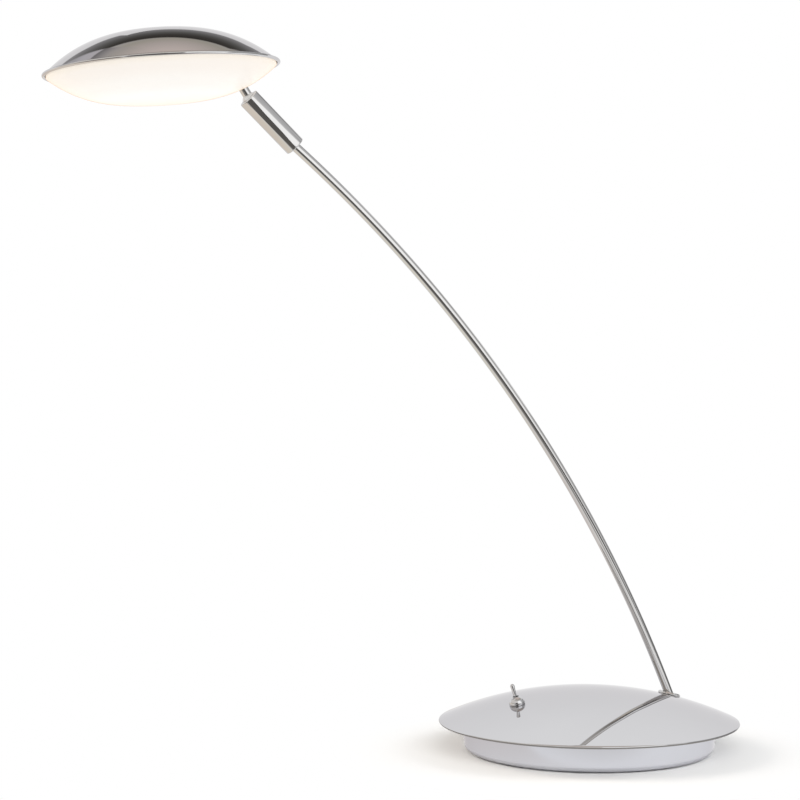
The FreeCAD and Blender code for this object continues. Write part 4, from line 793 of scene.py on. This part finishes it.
# %% Shades and patches
def shades(value, stops):
    """A colour ramp over (place, colour) stops, whose 0 to 1 spans the first to the last place."""
    low, high = stops[0][0], stops[-1][0]
    scaled = node("MapRange", {"Value": value, "From Min": low, "From Max": high}).outputs["Result"]
    return ramp(scaled, [((at - low) / (high - low), colour) for at, colour in stops])


def hang(mask, stops):
    """Paints the room where the mask is 1 with shades that go by the elevation."""
    global room
    room = paint(room, shades(elevation, stops), mask)


def grey(value):
    """A neutral grey."""
    return (value, value, value)


print("helpers: shades, hang, grey")

# %% [markdown]
# ## Behind the lamp
#
# The dish looks up over the wall behind the lamp. It shows a white room that darkens above the wall, a warm
# ceiling, and a dark opening whose lower edge dips at both sides and whose upper edge is arched: that is the
# black crescent on the dish with the brownish lens in it. At the far left the room is a plain mid grey.

# %% Walls, ceiling and the dark opening
white = grey(1.0)
ceiling = [(76, (0.69, 0.60, 0.56)), (90, (0.71, 0.60, 0.50))]
room = shades(elevation, [(-90, white), (33, white), (37, (0.62, 0.61, 0.62)), (48, (0.52, 0.50, 0.50)),
                          (58, (0.46, 0.43, 0.37)), (65, (0.56, 0.50, 0.46)), *ceiling])
far_left = band(bearing, -90, -35.5, 8, 1.0)
hang(far_left, [(20, white), (26, (0.58, 0.57, 0.58)), (31, (0.52, 0.51, 0.52)), (38, (0.52, 0.51, 0.53)),
                (43, (0.60, 0.58, 0.61)), (48.6, (0.60, 0.57, 0.59)), (49.4, (0.22, 0.21, 0.21)),
                (53, (0.33, 0.31, 0.31)), (57, (0.45, 0.42, 0.40)), (62, (0.50, 0.46, 0.42)), *ceiling])


def dip(beyond, rate):
    """How far the lower edge of the opening sinks: the rate times the degrees beyond a bearing."""
    return calculate("MULTIPLY", calculate("MAXIMUM", beyond, 0.0), rate)


left_dip = dip(calculate("SUBTRACT", -25.0, bearing), 0.6)
right_dip = dip(calculate("SUBTRACT", bearing, 10.0), 1.1)
low_line = calculate("ADD", elevation, calculate("ADD", left_dip, right_dip))
arch = calculate("MULTIPLY", calculate("POWER", calculate("ADD", bearing, 2.0), 2.0), 0.0042)
tall = calculate("SUBTRACT", edge(low_line, 33.7, 1.2), edge(calculate("ADD", elevation, arch), 56, 1.2))
hang(both(band(bearing, -35.5, 24, 1.5), tall), [
    (27, (0.42, 0.41, 0.42)), (33, (0.36, 0.355, 0.36)), (38, (0.25, 0.245, 0.245)),
    (44, (0.13, 0.128, 0.122)), (49, (0.07, 0.066, 0.06)), (57, (0.028, 0.024, 0.02))])
print("the room behind the lamp:", len(nodes), "nodes")

# %% [markdown]
# ## At the right
#
# The tube and the sleeve are thin cylinders, and each lengthwise stripe on them is one upright strip of the
# room. From the lamp outwards these are a dark corner, a mid grey wall and a bright front part, all of them
# up to 50 degrees high.

# %% Patches at the right
low_half = below(elevation, 50, 4)
hang(both(band(bearing, 38, 55, 3), low_half), [
    (-90, grey(0.3)), (6, grey(0.15)), (37, grey(0.26)), (60, (0.42, 0.41, 0.40))])
hang(both(band(bearing, 50, 104, 3), low_half), [
    (-90, grey(0.15)), (3, grey(0.17)), (8, grey(0.26)), (13, grey(0.50)), (28, grey(0.46)),
    (34, (0.60, 0.60, 0.61)), (60, grey(0.45))])
hang(both(band(bearing, 104, 127, 4), low_half), [
    (-90, grey(0.15)), (-3, grey(0.20)), (3, grey(0.95)), (20, grey(0.95)),
    (27, (0.62, 0.62, 0.63)), (60, (0.6, 0.6, 0.61))])
print("the room with its right side:", len(nodes), "nodes")

# %% [markdown]
# ## At the left and behind us
#
# The left side and the room behind the camera are bright above a dark floor, slightly warm, and dim towards
# their tops. Two small patches come last, over all the others: a haze beside the dark corner, and the dark
# camera side near the horizon, which draws the thin dark line along the sleeve and the tube.

# %% Patches at the left and behind us
hang(both(band(bearing, -150, -70, 6), below(elevation, 50, 6)), [
    (-90, (0.30, 0.26, 0.22)), (-3, (0.20, 0.18, 0.16)), (6, (0.80, 0.77, 0.73)),
    (40, (0.85, 0.81, 0.77)), (50, (0.60, 0.56, 0.52))])
behind_us = either(edge(off_axis, 153, 4), edge(bearing, 127, 4))
hang(both(behind_us, below(elevation, 62, 6)), [
    (-90, (0.15, 0.14, 0.13)), (-3, (0.12, 0.115, 0.11)), (4, (0.80, 0.78, 0.76)),
    (40, (0.85, 0.82, 0.79)), (50, (0.55, 0.52, 0.48)), (62, (0.40, 0.37, 0.33))])
room = paint(room, grey(0.32), both(band(bearing, 17, 38, 2), below(elevation, 36, 1)))
camera_side = either(edge(off_axis, 168, 2.5), band(bearing, -170, -153, 2.5))
room = paint(room, (0.10, 0.095, 0.09), both(camera_side, band(elevation, -8, 13, 2.5)))
print("the whole room:", len(nodes), "nodes")

# %% [markdown]
# ## Who sees what
#
# The world has three faces. Mirrors see the painted room, the camera sees plain white, which gives the picture
# its clean background, and everything that isn't a mirror is lit by an even, dim white. The Light Path node
# says which kind of ray asks, and two Mix Shader nodes answer it.

# %% One world for three kinds of rays
rays = node("LightPath").outputs
mirror_room = node("Background", {"Color": room}).outputs["Background"]
soft_room = node("Background", {"Color": (1.0, 0.995, 0.985), "Strength": 0.30}).outputs["Background"]
white_room = node("Background", {"Color": white}).outputs["Background"]
seen_white = either(rays["Is Camera Ray"], rays["Is Transmission Ray"])
not_seen = node("MixShader", {0: rays["Is Glossy Ray"], 1: soft_room, 2: mirror_room}).outputs["Shader"]
whole = node("MixShader", {0: seen_white, 1: not_seen, 2: white_room}).outputs["Shader"]
node("OutputWorld", {"Surface": whole})
print("world nodes:", len(nodes))


# %% [markdown]
# ## The table
#
# The table top is plain and nearly white, so it shows the lamp's soft shadow. A shadow catcher and a white
# picture behind it would need a compositor. Instead the table turns, a little way from the base, into pure
# white for the rays of the camera and of mirrors, and meets the background without a line.
# Mirrors see painted light on the table. Its left side has a painted warm light, and its front left has a painted
# shade that fades into dusk, which darkens the lower side of the tube. The table's front edge is 0.44 m before
# the lamp, behind the picture's lower border.

# %% Pieces of the stage
def stage_piece(name, right, away, height):
    """A plain stage surface in metres, on a grid of places to the right of, away from and over the lamp's middle."""
    points = np.stack(np.broadcast_arrays(right, away, height), -1)
    turn = Matrix.Rotation(-view_turn, 3, "Z")
    item = bpy.data.objects.new(name, grid_mesh(name, points @ np.array(turn).T, False, False))
    bpy.context.scene.collection.objects.link(item)
    return item


table = stage_piece("table_top", np.linspace(-6, 6, 25)[:, None],
                    np.array([-0.44, -0.2, 0.0, 0.2, 0.5, 1.0, 3.0, 9.0])[None, :], -0.0001)
print("table top:", len(table.data.polygons), "faces")

# %% The table's paint
table_paint = bpy.data.materials.new("table_paint")
open_nodes(table_paint, clear=True)
where = node("TexCoord").outputs["Object"]
table_rays = node("LightPath").outputs
span = node("VectorMath", {0: where}, operation="LENGTH").outputs["Value"]
to_right = (math.cos(view_turn), -math.sin(view_turn), 0)
to_away = (math.sin(view_turn), math.cos(view_turn), 0)
across, forward = (node("VectorMath", {0: where, 1: axis}, operation="DOT_PRODUCT").outputs["Value"]
                   for axis in (to_right, to_away))
glossy = table_rays["Is Glossy Ray"]
seen = either(either(table_rays["Is Camera Ray"], glossy), table_rays["Is Transmission Ray"])
paper_reach, paper_fade, mirrored_reach, mirrored_fade = 0.127, 0.045, 0.086, 0.005
pure = either(both(edge(span, paper_reach, paper_fade), seen),
              both(edge(span, mirrored_reach, mirrored_fade), glossy))
# Painted warm light for mirrors: the table's left side is warmer, and dimmer beside the base.
warm_light_left = shades(across, [(-0.5, (0.92, 0.83, 0.73)), (-0.3, (0.92, 0.89, 0.79)), (-0.18, (0.81, 0.75, 0.72)),
                            (-0.09, (0.88, 0.85, 0.83)), (0, (0.98, 0.98, 0.98)), (0.1, white)])
# Painted shade for mirrors: the table's front left fades into dusk.
beside = calculate("MINIMUM", calculate("ADD", across, 0.2), 0.0)
into_shade = calculate("SUBTRACT", forward, calculate("MULTIPLY", beside, 1.6))
painted_dusk_shade = shades(into_shade, [(-0.45, (0.15, 0.145, 0.14)), (-0.31, (0.24, 0.23, 0.22)), (-0.23, (0.40, 0.38, 0.36)),
                          (-0.19, (0.66, 0.64, 0.62)), (-0.14, (0.88, 0.87, 0.86)), (-0.10, white)])
shaded_front_left = both(below(across, 0.07, 0.03), below(into_shade, -0.10, 0.01))
mirrored = paint(white, paint(warm_light_left, painted_dusk_shade, shaded_front_left), glossy)
paper = node("BsdfDiffuse", {"Color": (0.97, 0.965, 0.955)}).outputs["BSDF"]
lit = node("Emission", {"Color": mirrored}).outputs["Emission"]
node("OutputMaterial", {"Surface": node("MixShader", {0: pure, 1: paper, 2: lit}).outputs["Shader"]})
table.data.materials.append(table_paint)
print("table paint:", len(nodes), "nodes")


# %% [markdown]
# ## White cards that only mirrors see
#
# The painted room is endlessly far away, so it looks alike from the head and from the base. But the plate looks
# up much more steeply than the dish does, and shows other things. So a wall stands close behind the lamp, and
# a white card hangs over the back of the plate, lower than the dish. A curved soft box at the front right
# draws the bright line along the sleeve and the tube. All three are hidden from the camera.

# %% The wall, the low card and the soft box
def emitter(name, strength):
    """A white material that only glows."""
    material = bpy.data.materials.new(name)
    open_nodes(material, clear=True)
    lit = node("Emission", {"Color": white, "Strength": strength}).outputs["Emission"]
    node("OutputMaterial", {"Surface": lit})
    return material


def column(first, last, count):
    """Evenly spaced numbers down the rows of a grid."""
    return np.linspace(first, last, count)[:, None]


wall_radius, box_radius, box_shift = 0.45, 0.75, -0.1
wall_turn, box_turn = np.radians(column(-62, 46, 55)), np.radians(column(122, 167, 14))
wall = stage_piece("white_wall", wall_radius * np.sin(wall_turn), wall_radius * np.cos(wall_turn),
                   np.array([[0.0, 0.375, 0.75]]))
card = stage_piece("low_card", column(-0.26, 0.42, 9), np.linspace(0.115, 0.46, 9)[None, :], 0.42)
box = stage_piece("soft_box", box_radius * np.sin(box_turn) + box_shift, box_radius * np.cos(box_turn),
                  np.array([[0.13, 0.40, 0.68]]))
card_white, box_white = emitter("card_white", 1.0), emitter("box_white", 1.3)
for item, white_paint in ((wall, card_white), (card, card_white), (box, box_white)):
    item.data.materials.append(white_paint)
    item.visible_camera = item.visible_diffuse = item.visible_shadow = item.visible_transmission = False
print("hung: wall, low card and soft box")


# %% [markdown]
# ## Three soft lamps
#
# The lamps light what isn't chrome: the table, the bowl and the plastics. They are large, so the shadow under
# the base is soft. A warm one stands at the left, a cool one at the right and a neutral one behind the camera.
# Mirrors don't see them, because the painted room already has its bright places.

# %% Soft lamps
LAMP_AIM = Vector((0, 0, 0.25))


def soft_lamp(name, bearing_at, elevation_at, distance, size, power, colour):
    """A rectangular area lamp at a bearing and elevation in degrees, aimed at the middle of the object."""
    at = (Matrix.Rotation(-view_turn - math.radians(bearing_at), 3, "Z")
          @ Matrix.Rotation(math.radians(elevation_at), 3, "X") @ Vector((0, distance, 0)))
    data = bpy.data.lights.new(name, "AREA")
    data.shape = "RECTANGLE"
    data.energy, data.size, data.size_y, data.color = power, size[0], size[1], colour
    item = bpy.data.objects.new(name, data)
    item.location = at + LAMP_AIM
    item.rotation_euler = (-at).to_track_quat("-Z", "Y").to_euler()
    item.visible_glossy = False
    bpy.context.scene.collection.objects.link(item)


soft_lamp("left_light", -88, 26, 1.4, (1.0, 1.0), 14.5, (1.0, 0.93, 0.84))
soft_lamp("right_light", 92, 22, 1.4, (1.0, 1.0), 11.5, (0.97, 0.985, 1.0))
soft_lamp("front_light", 172, 23, 2.0, (1.6, 1.2), 27, (1.0, 0.995, 0.99))
print("lamps: left, right and front")
